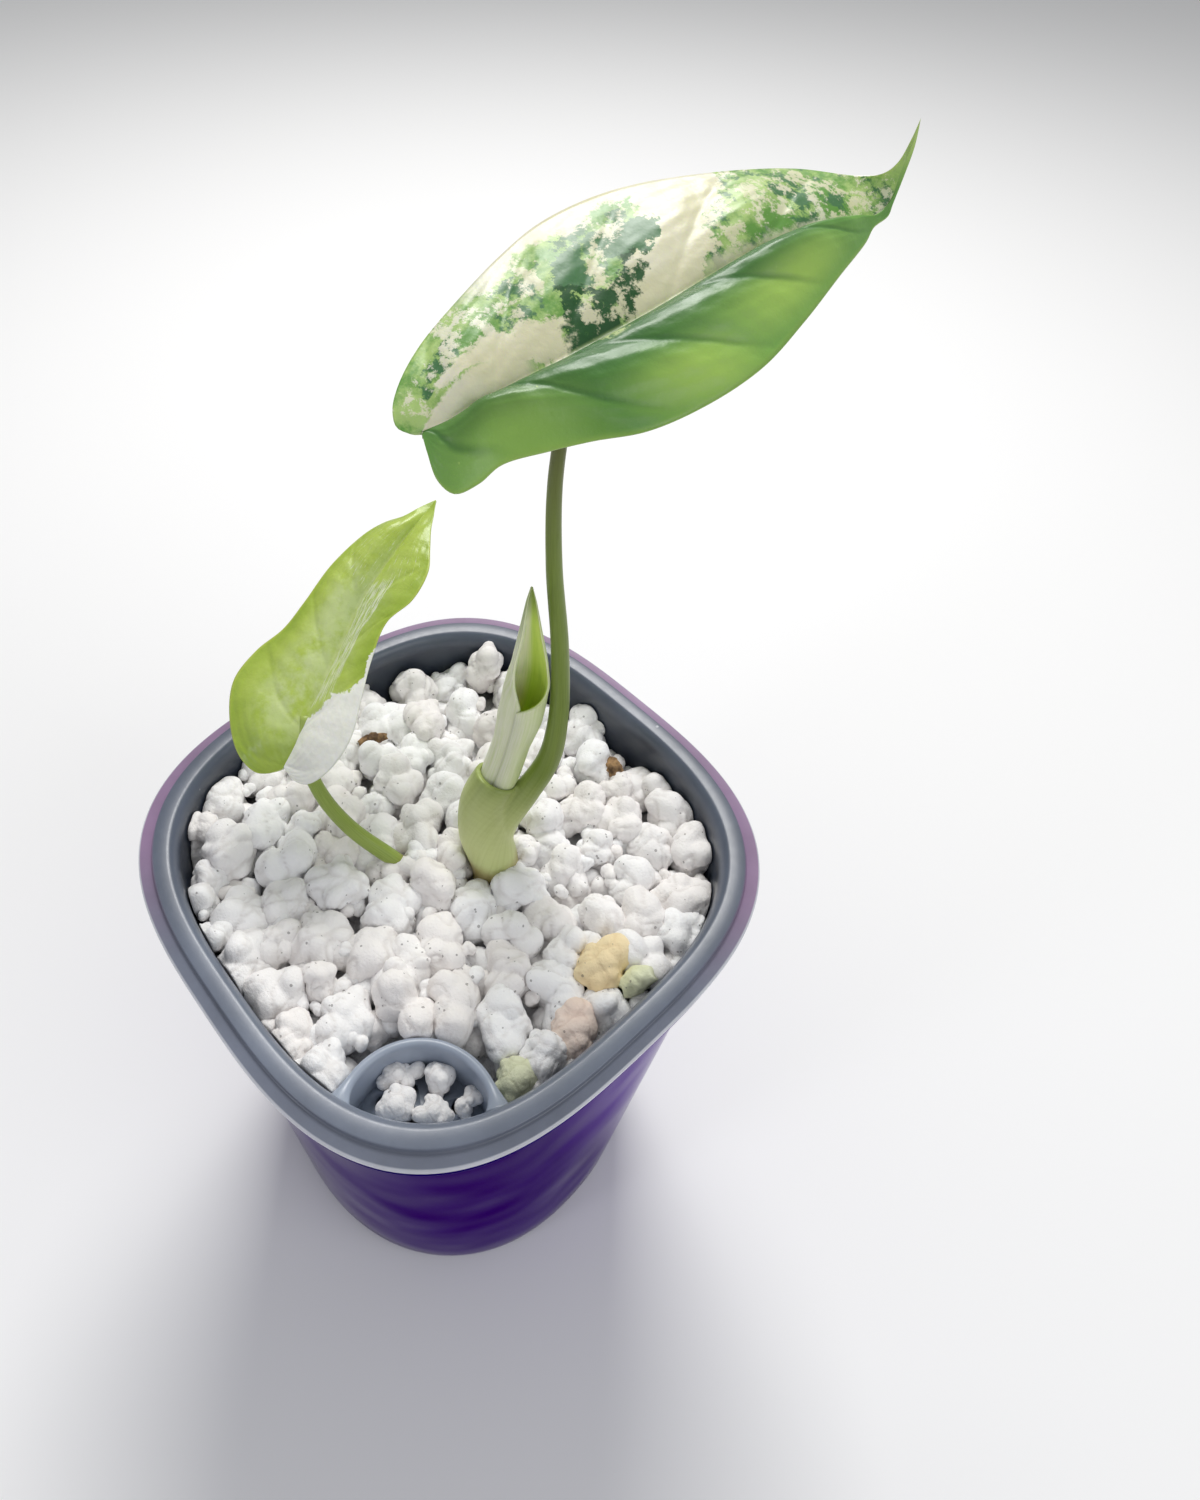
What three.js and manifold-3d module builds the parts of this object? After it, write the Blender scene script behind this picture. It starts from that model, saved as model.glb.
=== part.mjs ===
// A potted variegated silver dragon alocasia: two leaves, a rolled new leaf, coarse perlite, and a
// frosted basket that hangs by its flange in a glossy square pot. Millimetres, +Z up. The origin is
// the centre of the pot's base, the pot's sides face X and Y, and the fill port is at +X -Y.
import * as THREE from "three";
import { mergeVertices } from "three/addons/utils/BufferGeometryUtils.js";
import Module from "manifold-3d";

const wasm = await Module();
wasm.setup();

// Driving dimensions of the pot and the basket
const GAP = 0.3;
const SIDES_ROUND_POT = 40;
const POT_HEIGHT = 98;
const POT_RIM_HALF = 50.5;
const POT_TOP_HALF = 47.5;
const POT_BASE_HALF = 37.6;
const POT_WALL = 1.1;
const POT_FLOOR = 2.6;
const POWER_TOP = 2.97;
const POWER_BASE = 2.12;
const FLANGE_HALF = 51;
const FLANGE_TOP = 100.4;
const BASKET_FLOOR_Z = 24;
const BASKET_FLOOR = 1.8;
const BASKET_WALL = 0.9;
const BASKET_INNER_TOP = 44.4;
const BASKET_INNER_BASE = 37.4;
const BASKET_STRAIGHT_TOP = 94.5;

// The fill port: a half-round well in one corner
const PORT = new THREE.Vector2(35.6, -34.8);
const PORT_OUTER = 13.4;
const PORT_INNER = 11.9;
const PORT_FLOOR_INNER = 11.4;
const PORT_FLOOR_Z = 89.7;
const PORT_FLOOR = 1.7;
const PORT_WALL_TOP = 97.2;
const DRAIN_RADIUS = 1.4;

// The wicking foot below the basket's floor
const FOOT_TOP_RADIUS = 15;
const FOOT_BASE_RADIUS = 12.5;
const FOOT_WALL = 1.5;
const FOOT_BASE_Z = POT_FLOOR + GAP;

// The perlite
const GRAIN_SMALL = 3.9;
const GRAIN_LARGE = 6.5;
const GRAIN_TRIES = 3600;
const GRAIN_SPACING = 0.59;
const GRAIN_DETAILED = 5.6;
const GRAIN_SUNK = 0.5;
const GRAIN_UNEVEN = 2;
const PLANNED_GRAIN = 4.4;
const STEM_FOOT = new THREE.Vector2(5.7, 5.6);
const STEM_ROOM = 3;
const CORE_BELOW_SURFACE = 3.4;

// The blades
const BLADE_THICKNESS = 0.8;
const RIB_DEPTH = 0.8;

const vector = (point) => new THREE.Vector3(point[0], point[1], point[2]);
const lerp = THREE.MathUtils.lerp;
const clamp = THREE.MathUtils.clamp;

function smooth(low, high, value) {
  return THREE.MathUtils.smoothstep(value, low, high);
}

// Joins and cuts

function toSolid(geometry) {
  const bare = geometry.clone();
  bare.deleteAttribute("normal");
  bare.deleteAttribute("uv");
  const merged = mergeVertices(bare, 1e-4);
  const mesh = new wasm.Mesh({
    numProp: 3,
    vertProperties: Float32Array.from(merged.attributes.position.array),
    triVerts: Uint32Array.from(merged.index.array),
  });
  mesh.merge();
  return new wasm.Manifold(mesh);
}

function toGeometry(solid) {
  const mesh = solid.getMesh();
  const geometry = new THREE.BufferGeometry();
  geometry.setAttribute("position", new THREE.BufferAttribute(Float32Array.from(mesh.vertProperties), 3));
  geometry.setIndex(new THREE.BufferAttribute(Uint32Array.from(mesh.triVerts), 1));
  return geometry;
}

// The largest body of a solid: a cut can leave a loose crumb of perlite, which is dropped.
function largestBody(solid) {
  const bodies = solid.decompose();
  bodies.sort((a, b) => b.volume() - a.volume());
  return bodies[0];
}

// Shapes

// A closed body through rings of equal count, with a fan over each end.
function loft(rings) {
  const count = rings[0].length;
  const positions = [];
  for (const ring of rings) {
    for (const point of ring) positions.push(point.x, point.y, point.z);
  }
  const index = [];
  for (let ring = 0; ring + 1 < rings.length; ring += 1) {
    for (let side = 0; side < count; side += 1) {
      const a = ring * count + side;
      const b = ring * count + ((side + 1) % count);
      index.push(a, b, b + count);
      index.push(a, b + count, a + count);
    }
  }
  const ends = [
    { first: 0, ring: rings[0], forward: false },
    { first: (rings.length - 1) * count, ring: rings[rings.length - 1], forward: true },
  ];
  for (const end of ends) {
    const middle = new THREE.Vector3();
    for (const point of end.ring) middle.addScaledVector(point, 1 / count);
    const hub = positions.length / 3;
    positions.push(middle.x, middle.y, middle.z);
    for (let side = 0; side < count; side += 1) {
      const a = end.first + side;
      const b = end.first + ((side + 1) % count);
      if (end.forward) index.push(hub, a, b);
      else index.push(hub, b, a);
    }
  }
  const geometry = new THREE.BufferGeometry();
  geometry.setAttribute("position", new THREE.Float32BufferAttribute(positions, 3));
  geometry.setIndex(index);
  return geometry;
}

// A square with bowed sides and very round corners: |x|^power + |y|^power = half^power.
function squareRing(half, power, z) {
  const ring = [];
  for (let side = 0; side < SIDES_ROUND_POT; side += 1) {
    const angle = (2 * Math.PI * side) / SIDES_ROUND_POT;
    const x = Math.cos(angle);
    const y = Math.sin(angle);
    const reach = half / squareReach(x, y, power);
    ring.push(new THREE.Vector3(reach * x, reach * y, typeof z === "function" ? z(reach * x, reach * y) : z));
  }
  return ring;
}

function squareReach(x, y, power) {
  return Math.pow(Math.pow(Math.abs(x), power) + Math.pow(Math.abs(y), power), 1 / power);
}

function squareBody(profile) {
  return loft(profile.map(([half, power, z]) => squareRing(half, power, z)));
}

function cylinder(radiusTop, radiusBase, low, high, sides, x, y) {
  const geometry = new THREE.CylinderGeometry(radiusTop, radiusBase, high - low, sides);
  geometry.rotateX(Math.PI / 2);
  geometry.translate(x, y, (low + high) / 2);
  return geometry;
}

// A round stalk through points with a radius at each; grow thickens and lengthens it to cut a hole.
function stalk(points, radii, sides, steps, grow = 0) {
  const route = points.map(vector);
  const last = route.length - 1;
  const startDirection = route[0].clone().sub(route[1]).normalize();
  const endDirection = route[last].clone().sub(route[last - 1]).normalize();
  route[0].addScaledVector(startDirection, grow);
  route[last].addScaledVector(endDirection, grow);
  const curve = new THREE.CatmullRomCurve3(route, false, "centripetal");
  const reference = new THREE.Vector3(0.8, -0.6, 0);
  const rings = [];
  for (let step = 0; step <= steps; step += 1) {
    const t = step / steps;
    const centre = curve.getPoint(t);
    const along = curve.getTangent(t);
    const across = reference.clone().addScaledVector(along, -reference.dot(along)).normalize();
    const side = new THREE.Vector3().crossVectors(along, across);
    const place = Math.min(Math.floor(t * last), last - 1);
    const radius = lerp(radii[place], radii[place + 1], t * last - place) + grow;
    const ring = [];
    for (let corner = 0; corner < sides; corner += 1) {
      const angle = (2 * Math.PI * corner) / sides;
      const point = centre.clone();
      point.addScaledVector(across, radius * Math.cos(angle));
      point.addScaledVector(side, radius * Math.sin(angle));
      ring.push(point);
    }
    rings.push(ring);
  }
  return loft(rings);
}

// The pot and the basket

function potHalf(z) {
  return lerp(POT_BASE_HALF, POT_TOP_HALF, z / 96);
}

function power(z) {
  return lerp(POWER_BASE, POWER_TOP, clamp(z / 96, 0, 1));
}

function basketInner(z) {
  const share = (z - BASKET_FLOOR_Z) / (BASKET_STRAIGHT_TOP - BASKET_FLOOR_Z);
  return lerp(BASKET_INNER_BASE, BASKET_INNER_TOP, share);
}

function outerPot() {
  const rimPower = POWER_TOP;
  const innerTop = POT_TOP_HALF - POT_WALL;
  return squareBody([
    [potHalf(0) - 3, POWER_BASE, 0],
    [potHalf(0) - 0.9, POWER_BASE, 0.9],
    [potHalf(3.2), power(3.2), 3.2],
    [potHalf(50), power(50), 50],
    [potHalf(95.4), power(95.4), 95.4],
    [POT_RIM_HALF - 0.6, rimPower, 95.8],
    [POT_RIM_HALF, rimPower, 96.4],
    [POT_RIM_HALF, rimPower, POT_HEIGHT - 0.5],
    [POT_RIM_HALF - 0.5, rimPower, POT_HEIGHT],
    [innerTop + 0.5, rimPower, POT_HEIGHT],
    [innerTop, rimPower, POT_HEIGHT - 0.6],
    [potHalf(5.4) - POT_WALL, power(5.4), 5.4],
    [potHalf(0) - 3.4, POWER_BASE, POT_FLOOR],
  ]);
}

const portCylinder = (radiusTop, radiusBase, low, high) => toSolid(
  cylinder(radiusTop, radiusBase, low, high, 32, PORT.x, PORT.y),
);

function innerBasket() {
  const floorTop = BASKET_FLOOR_Z + BASKET_FLOOR;
  const outerTop = BASKET_INNER_TOP + BASKET_WALL;
  const underFlange = POT_HEIGHT + GAP;
  const roundOver = [
    [BASKET_INNER_TOP, power(BASKET_STRAIGHT_TOP), BASKET_STRAIGHT_TOP],
    [BASKET_INNER_TOP + 0.1, POWER_TOP, 97.6],
    [BASKET_INNER_TOP + 0.7, POWER_TOP, 99],
    [BASKET_INNER_TOP + 1.4, POWER_TOP, 100],
    [BASKET_INNER_TOP + 2.6, POWER_TOP, FLANGE_TOP + 0.2],
  ];
  const shell = toSolid(squareBody([
    [BASKET_INNER_BASE - 2, POWER_BASE, BASKET_FLOOR_Z],
    [BASKET_INNER_BASE + BASKET_WALL, power(BASKET_FLOOR_Z + 3), BASKET_FLOOR_Z + 3],
    [outerTop, POWER_TOP, underFlange],
    [FLANGE_HALF - 0.2, POWER_TOP, underFlange],
    [FLANGE_HALF, POWER_TOP, underFlange + 0.2],
    [FLANGE_HALF, POWER_TOP, underFlange + 0.9],
    [FLANGE_HALF - 0.4, POWER_TOP, underFlange + 1.2],
    [FLANGE_HALF - 2.1, POWER_TOP, underFlange + 1.3],
    [FLANGE_HALF - 2.3, POWER_TOP, FLANGE_TOP - 0.1],
    [FLANGE_HALF - 2.6, POWER_TOP, FLANGE_TOP],
    [FLANGE_HALF - 4.5, POWER_TOP, FLANGE_TOP],
  ]));
  const hollow = toSolid(squareBody([
    [BASKET_INNER_BASE - 2.4, POWER_BASE, floorTop],
    [basketInner(floorTop + 2.5), power(floorTop + 2.5), floorTop + 2.5],
    ...roundOver,
  ]));
  const soilSpace = hollow.subtract(portCylinder(PORT_OUTER, PORT_OUTER, 0, PORT_WALL_TOP));
  const well = hollow.intersect(portCylinder(PORT_INNER, PORT_FLOOR_INNER, PORT_FLOOR_Z, 110));
  const belowShelf = portCylinder(PORT_INNER, PORT_INNER, 0, PORT_FLOOR_Z - PORT_FLOOR);
  let basket = shell.subtract(soilSpace).subtract(well).subtract(belowShelf);
  for (const [distance, angle] of [[8.6, 182], [8.6, 152], [8.6, 122], [8.6, 92], [4, 160], [4, 110]]) {
    const turn = THREE.MathUtils.degToRad(angle);
    const x = PORT.x + distance * Math.cos(turn);
    const y = PORT.y + distance * Math.sin(turn);
    const drain = cylinder(DRAIN_RADIUS, DRAIN_RADIUS, PORT_FLOOR_Z - 5, PORT_FLOOR_Z + 2, 10, x, y);
    basket = basket.subtract(toSolid(drain));
  }
  const foot = cylinder(FOOT_TOP_RADIUS, FOOT_BASE_RADIUS, FOOT_BASE_Z, BASKET_FLOOR_Z + 1, 24, 0, 0);
  basket = basket.add(toSolid(foot)).subtract(toSolid(footHollow(0)));
  for (let slot = 0; slot < 6; slot += 1) {
    const floorSlot = new THREE.BoxGeometry(11, 2, 8);
    floorSlot.translate(24, 0, BASKET_FLOOR_Z);
    floorSlot.rotateZ((slot * Math.PI) / 3 + Math.PI / 12);
    basket = basket.subtract(toSolid(floorSlot));
  }
  for (let slot = 0; slot < 4; slot += 1) {
    const sideSlot = new THREE.BoxGeometry(8, 2.4, 11);
    sideSlot.translate(FOOT_BASE_RADIUS, 0, 12);
    sideSlot.rotateZ((slot * Math.PI) / 2);
    basket = basket.subtract(toSolid(sideSlot));
  }
  return toGeometry(basket);
}

// The space inside the wicking foot, or the perlite that fills it when inset is the gap.
function footHollow(inset) {
  const radiusTop = FOOT_TOP_RADIUS - FOOT_WALL - inset;
  const radiusBase = FOOT_BASE_RADIUS - FOOT_WALL - inset;
  const low = FOOT_BASE_Z + FOOT_WALL + inset;
  return cylinder(radiusTop, radiusBase, low, BASKET_FLOOR_Z + 4, 24, 0, 0);
}

// The perlite

function makeDraw(seed) {
  let state = seed;
  return () => {
    state = (state * 1664525 + 1013904223) % 4294967296;
    return state / 4294967296;
  };
}

// The bed rises towards the front.
function bedHeight(x, y) {
  return 94.9 + 0.01 * x - 0.042 * y;
}

function drawDirection(draw) {
  const angle = 2 * Math.PI * draw();
  const height = 2 * draw() - 1;
  const flat = Math.sqrt(1 - height * height);
  return new THREE.Vector3(flat * Math.cos(angle), flat * Math.sin(angle), height);
}

// A puffed grain is four balls that overlap: two along its length, and two where they fall.
function makeGrain(draw, centre, size) {
  const axis = drawDirection(draw);
  axis.z *= 0.5;
  axis.normalize();
  const reach = 0.15 + 0.35 * draw();
  const balls = [
    { centre: axis.clone().multiplyScalar(reach * size), radius: size * (0.6 + 0.1 * draw()) },
    { centre: axis.clone().multiplyScalar(-reach * size), radius: size * (0.6 + 0.1 * draw()) },
  ];
  for (let extra = 0; extra < 2; extra += 1) {
    const direction = drawDirection(draw);
    const offset = 0.3 + 0.2 * draw();
    balls.push({ centre: direction.multiplyScalar(offset * size), radius: size * (0.52 + 0.12 * draw()) });
  }
  return { centre, size, balls };
}

// The distance from the grain's centre to its surface, which is the furthest ball's.
function grainReach(grain, direction) {
  let furthest = 0;
  for (const ball of grain.balls) {
    const along = ball.centre.dot(direction);
    const depth = along * along - ball.centre.lengthSq() + ball.radius * ball.radius;
    if (depth > 0) furthest = Math.max(furthest, along + Math.sqrt(depth));
  }
  return furthest;
}

function grainGeometry(grain, grow = 0, ball = new THREE.IcosahedronGeometry(1, 1)) {
  const geometry = ball.clone();
  const position = geometry.attributes.position;
  const direction = new THREE.Vector3();
  for (let corner = 0; corner < position.count; corner += 1) {
    direction.fromBufferAttribute(position, corner).normalize();
    const reach = grainReach(grain, direction) + grow;
    direction.multiplyScalar(reach).add(grain.centre);
    position.setXYZ(corner, direction.x, direction.y, direction.z);
  }
  return geometry;
}

// Grains that the eye picks out are shaped one by one: balls [right, away, up, radius] as seen from
// the port's corner, about a centre.
const SEEN_FROM_PORT = THREE.MathUtils.degToRad(49);
const singleGrains = {
  grain_tan: {
    centre: [34.9, 6.4, 94.6],
    balls: [[1.9, 1.6, 0.6, 3.9], [-2.3, -0.9, 0, 3.2], [0.3, -2.3, -0.3, 3.2], [0, 0, 0, 4]],
    colour: 0xe8c88a,
  },
  grain_pink: {
    centre: [39.4, -4.8, 93.2],
    balls: [[0.3, 2.2, 0.3, 3.5], [-0.8, -0.3, 0, 3.5], [0.1, -2.5, -0.2, 3], [0.8, 0, 0, 3.4]],
    colour: 0xe9d3c4,
  },
  grain_lime_near: {
    centre: [39, -17.5, 93],
    balls: [[0, 0.2, 0, 3.6], [-0.6, -1, -0.2, 3.1], [1, 0.4, 0, 2.9]],
    colour: 0xdde2bb,
  },
};
const portGrains = {
  port_grain_long: {
    centre: [26.3, -31.2, 91.7],
    balls: [[-2.6, -0.9, 0, 1.5], [-1, 0, 0.2, 1.8], [0.9, 0.2, 0, 1.6], [2.6, 1, 0.2, 1.5]],
  },
  port_grain_round: {
    centre: [30.8, -26.8, 92.3],
    balls: [[0, 0.3, 0, 2.6], [-0.8, 0.9, 0.3, 1.9], [0.9, 0.6, -0.2, 2], [-0.3, -1.1, -0.4, 1.8]],
  },
  port_grain_big: {
    centre: [29.4, -34.5, 92.4],
    balls: [[0, 0, 0, 2.9], [1.4, 0.8, 0.4, 2.1], [1.2, -0.7, 0, 2.1], [-1.4, -0.7, -0.3, 2.1]],
  },
  port_grain_lumpy: {
    centre: [34.1, -30.5, 92.2],
    balls: [[0, 0, 0, 2.3], [-1.4, -0.6, 0, 1.6], [1.5, -0.5, 0.1, 1.6], [0.1, 1.2, 0.2, 1.7]],
  },
  port_grain_small: {
    centre: [36.4, -25.6, 91.7],
    balls: [[0.7, 0.8, 0.2, 1.6], [-0.6, -0.9, 0, 1.6]],
  },
};

function singleGrain(plan, grow = 0) {
  const balls = plan.balls.map(([right, away, up, radius]) => ({
    centre: new THREE.Vector3(right, away, up),
    radius: radius + grow,
  }));
  const geometry = grainGeometry({ centre: new THREE.Vector3(), balls });
  geometry.rotateZ(SEEN_FROM_PORT);
  geometry.translate(...plan.centre);
  return geometry;
}

// The space inside the basket's wall, down to a floor, one gap clear of both.
function insideBasket(floor) {
  const half = (z) => basketInner(z) - GAP;
  const low = floor + GAP;
  return toSolid(squareBody([
    [half(low), power(low), low],
    [half(BASKET_STRAIGHT_TOP), POWER_TOP, BASKET_STRAIGHT_TOP],
    [BASKET_INNER_TOP - GAP, POWER_TOP, 98],
    [BASKET_INNER_TOP + 1.4 - GAP, POWER_TOP, 100.4],
    [BASKET_INNER_TOP + 1.4 - GAP, POWER_TOP, 110],
  ]));
}

// The port's grains lie close together, so each gives way to the walls and to the grains before it.
function makePortGrains() {
  const well = portCylinder(PORT_INNER - GAP, PORT_FLOOR_INNER - GAP, PORT_FLOOR_Z, 97);
  const room = insideBasket(PORT_FLOOR_Z).intersect(well);
  const neighbours = [];
  const made = {};
  for (const [name, plan] of Object.entries(portGrains)) {
    let solid = toSolid(singleGrain(plan)).intersect(room);
    for (const neighbour of neighbours) solid = solid.subtract(neighbour);
    made[name] = toGeometry(largestBody(solid));
    neighbours.push(toSolid(singleGrain(plan, GAP)));
  }
  return made;
}

// A bent greenish grain leans on the basket's wall.
function limeFarGrain(grow = 0) {
  return stalk([[39.9, 5.2, 93.6], [41, 8.2, 95.4], [42.6, 10.4, 97.4]], [1.5, 2.4, 1.3], 7, 5, grow);
}

// A grain on the bed gives way to the basket's wall.
function seated(geometry) {
  return toSolid(geometry).intersect(insideBasket(BASKET_FLOOR_Z));
}

// Bark chips: short curved flakes, lying in the top layer.
const barkChips = {
  bark_chip_left: {
    points: [[-31.2, 0.6, 95.4], [-29.6, 3.6, 96.2], [-28.8, 7.2, 95.2]],
    radii: [0.7, 1.5, 0.6],
  },
  bark_chip_right: {
    points: [[3, 37.4, 92.2], [5.9, 37.9, 93.2], [9, 36.9, 92.4]],
    radii: [1.2, 2.2, 1.1],
  },
};

function barkGeometry(chip, grow = 0) {
  return stalk(chip.points, chip.radii, 6, 4, grow);
}

// Grains fall at random, the large ones first, and one stays where it has room among those before
// it. The first one stands on end against the far wall.
function makeBedGrains() {
  const draw = makeDraw(7);
  const standing = { centre: new THREE.Vector3(-30.8, 35.4, 95), size: 6, balls: [] };
  standing.balls.push({ centre: new THREE.Vector3(0, 0, 3), radius: 3 });
  standing.balls.push({ centre: new THREE.Vector3(0.2, -0.3, 0.4), radius: 2.9 });
  standing.balls.push({ centre: new THREE.Vector3(-0.4, -0.5, -2.2), radius: 3.8 });
  const grains = [standing];
  const taken = Object.values(singleGrains).map((plan) => {
    return { centre: vector(plan.centre), size: PLANNED_GRAIN };
  });
  taken.push(standing);
  const spot = new THREE.Vector2();
  for (let attempt = 0; attempt < GRAIN_TRIES; attempt += 1) {
    const size = lerp(GRAIN_LARGE, GRAIN_SMALL, attempt / GRAIN_TRIES);
    spot.set(draw() - 0.5, draw() - 0.5).multiplyScalar(2 * BASKET_INNER_TOP);
    const z = bedHeight(spot.x, spot.y) - GRAIN_SUNK * size;
    const wallRoom = basketInner(z) - squareReach(spot.x, spot.y, POWER_TOP);
    const portRoom = spot.distanceTo(PORT) - PORT_OUTER;
    const stemRoom = spot.distanceTo(STEM_FOOT) - STEM_ROOM;
    const fits = Math.min(wallRoom + 0.35 * size, portRoom + 0.25 * size, stemRoom) > 0.6 * size;
    const crowded = taken.some((other) => {
      const apart = Math.hypot(other.centre.x - spot.x, other.centre.y - spot.y);
      return apart < GRAIN_SPACING * (other.size + size);
    });
    if (!fits || crowded) continue;
    const height = z + GRAIN_UNEVEN * (draw() - 0.5);
    const grain = makeGrain(draw, new THREE.Vector3(spot.x, spot.y, height), size);
    grains.push(grain);
    taken.push(grain);
  }
  return grains;
}

function perliteBed() {
  const low = BASKET_FLOOR_Z + BASKET_FLOOR + GAP;
  const coreTop = (x, y) => bedHeight(x, y) - CORE_BELOW_SURFACE;
  const half = (z) => basketInner(z) - GAP;
  const core = toSolid(loft([
    squareRing(BASKET_INNER_BASE - 2.4 - GAP, POWER_BASE, low),
    squareRing(half(low + 2.5), power(low + 2.5), low + 2.5),
    squareRing(half(82), power(82), coreTop),
  ]));
  const fineBall = new THREE.OctahedronGeometry(1, 1);
  const plainBall = new THREE.IcosahedronGeometry(1, 0);
  const lumps = makeBedGrains().map((grain) => {
    const ball = grain.size > GRAIN_DETAILED ? fineBall : plainBall;
    return toSolid(grainGeometry(grain, 0, ball));
  });
  let bed = core.add(wasm.Manifold.union(lumps).intersect(insideBasket(BASKET_FLOOR_Z)));
  bed = bed.add(toSolid(footHollow(GAP)));
  bed = bed.subtract(portCylinder(PORT_OUTER + GAP, PORT_OUTER + GAP, 0, 110));
  const guests = [
    ...Object.values(singleGrains).map((plan) => singleGrain(plan, GAP)),
    ...Object.values(barkChips).map((chip) => barkGeometry(chip, GAP)),
    ...rootstockParts(GAP),
    limeFarGrain(GAP),
    cylinder(4.4, 4.4, 85.6, 88.6, 10, 5.8, 5.6),
    sheath(GAP),
    largeStalk(GAP),
    smallStalk(GAP),
  ];
  for (const guest of guests) bed = bed.subtract(toSolid(guest));
  return toGeometry(largestBody(bed));
}

// The plant below and above the surface

const ROOTSTOCK = {
  points: [[6.3, 5, 66], [6.1, 5, 74], [5.8, 5.3, 82], [5.8, 5.5, 86.5]],
  radii: [2.6, 5.4, 6.6, 4.8],
};

function rootstockParts(grow = 0) {
  const parts = [stalk(ROOTSTOCK.points, ROOTSTOCK.radii, 9, 6, grow)];
  const roots = 6;
  for (let root = 0; root < roots; root += 1) {
    const turn = (2 * Math.PI * root) / roots + 0.4;
    const reach = 13 + 5 * Math.sin(3.1 * root);
    const depth = 36 + 7 * Math.cos(2.3 * root);
    const x = (distance) => 6 + distance * Math.cos(turn);
    const y = (distance) => 5.2 + distance * Math.sin(turn);
    const points = [
      [x(1), y(1), 76],
      [x(0.55 * reach), y(0.55 * reach), 70],
      [x(reach), y(reach), lerp(70, depth, 0.5)],
      [x(0.9 * reach), y(0.9 * reach), depth],
    ];
    parts.push(stalk(points, [1.7, 1.3, 1, 0.5], 4, 4, grow));
  }
  return parts;
}

function rootstock() {
  const solids = rootstockParts().map(toSolid);
  return toGeometry(wasm.Manifold.union(solids));
}

function sheath(grow = 0) {
  const points = [[6, 5.8, 87.7], [6.5, 5.7, 93], [3.4, 5.7, 99.6], [1.8, 7.1, 105.2], [2.2, 9.8, 110.6]];
  return stalk(points, [4.1, 4.5, 4.8, 4.5, 4.4], 12, 9, grow);
}

function largeStalk(grow = 0) {
  const points = [
    [4.6, 6.8, 94.1],
    [4.9, 9.3, 100.8],
    [6.4, 13.3, 107.3],
    [8.1, 16.8, 115.3],
    [8.9, 17.9, 126.5],
    [8.6, 17.6, 143.7],
    [7.3, 16.5, 162.1],
    [6.8, 16.3, 177.3],
    [6.7, 17.4, 188.5],
    [6, 19.1, 197.3],
  ];
  return stalk(points, [3.2, 2.9, 2.45, 2.15, 1.8, 1.55, 1.35, 1.2, 1.1, 1], 8, 22, grow);
}

// The space above a blade's underside, which ends its stalk just below the blade.
function bladeCut(name) {
  const geometry = bladeGeometry(bladeShapes[name], GAP);
  geometry.applyMatrix4(placeMatrix(bladePlaces[name]));
  return toSolid(geometry);
}

// The large stalk widens at its base into the sheath that holds the new leaf.
function petioleLarge() {
  const joined = toSolid(largeStalk()).add(toSolid(sheath()));
  const held = joined.subtract(toSolid(newLeafSpindle(GAP))).subtract(bladeCut("leaf_large"));
  return toGeometry(largestBody(held));
}

function smallStalk(grow = 0) {
  const points = [
    [4, 1, 84.4],
    [0.4, -3.6, 87],
    [-3, -7, 91.2],
    [-5.6, -9.7, 95.6],
    [-11.2, -14.2, 102.8],
    [-15.7, -16.9, 111.5],
    [-19.9, -16.5, 118.3],
    [-23.1, -13.5, 122.4],
  ];
  return stalk(points, [1.8, 1.7, 1.6, 1.5, 1.4, 1.3, 1.2, 1.1], 8, 16, grow);
}

function petioleSmall() {
  let solid = toSolid(smallStalk()).subtract(bladeCut("leaf_small")).subtract(toSolid(sheath(GAP)));
  for (const part of rootstockParts(GAP)) solid = solid.subtract(toSolid(part));
  return toGeometry(largestBody(solid));
}

// The new leaf is a long spindle, rolled shut below its throat.
const NEW_LEAF_POINTS = [
  [2.4, 6.3, 100.9],
  [2, 8.5, 106.4],
  [2.3, 10.6, 111.5],
  [3.1, 12.5, 119.6],
  [4.1, 13.3, 126.6],
  [5, 13.6, 133.7],
  [5.7, 13.3, 141.8],
  [6.5, 12.6, 149.9],
  [7.4, 11.8, 157],
  [8.3, 11, 161.4],
];

function newLeafSpindle(grow = 0) {
  return stalk(NEW_LEAF_POINTS, [2.4, 3.1, 3.5, 3.4, 4, 3.9, 3, 1.85, 0.9, 0.2], 10, 16, grow);
}

// The throat is a scoop that starts a third of the way up and runs out at the tip.
function leafNew() {
  const bore = stalk(NEW_LEAF_POINTS.slice(3, 9), [2.4, 3.3, 3.2, 2.35, 1.25, 0.35], 10, 12);
  const middle = [[4.6, 13.4, 130.4], ...NEW_LEAF_POINTS.slice(5)];
  const out = [4.3, 4.2, 3.3, 2.2, 1.3, 0.9];
  const facing = THREE.MathUtils.degToRad(-24);
  const points = middle.map(([x, y, z], place) => [
    x + out[place] * Math.cos(facing),
    y + out[place] * Math.sin(facing),
    z,
  ]);
  const scoop = stalk(points, [0.5, 2.6, 3, 2.1, 1.2, 0.9], 10, 10);
  const solid = toSolid(newLeafSpindle()).subtract(toSolid(bore)).subtract(toSolid(scoop));
  return toGeometry(largestBody(solid));
}

// The blades. Points are [along the midrib, across, height] from the stalk's joint; each outline runs
// from the tip to the notch between the back lobes. Far and near are as the camera sees them.
const bladePlaces = {
  leaf_large: { joint: [6.2, 18.8, 197.7], azimuth: 83.3, pitch: 9.4, roll: 10.3 },
  leaf_small: { joint: [-23, -13.3, 122.5], azimuth: 115.2, pitch: 22.2, roll: -9.8 },
};

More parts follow.
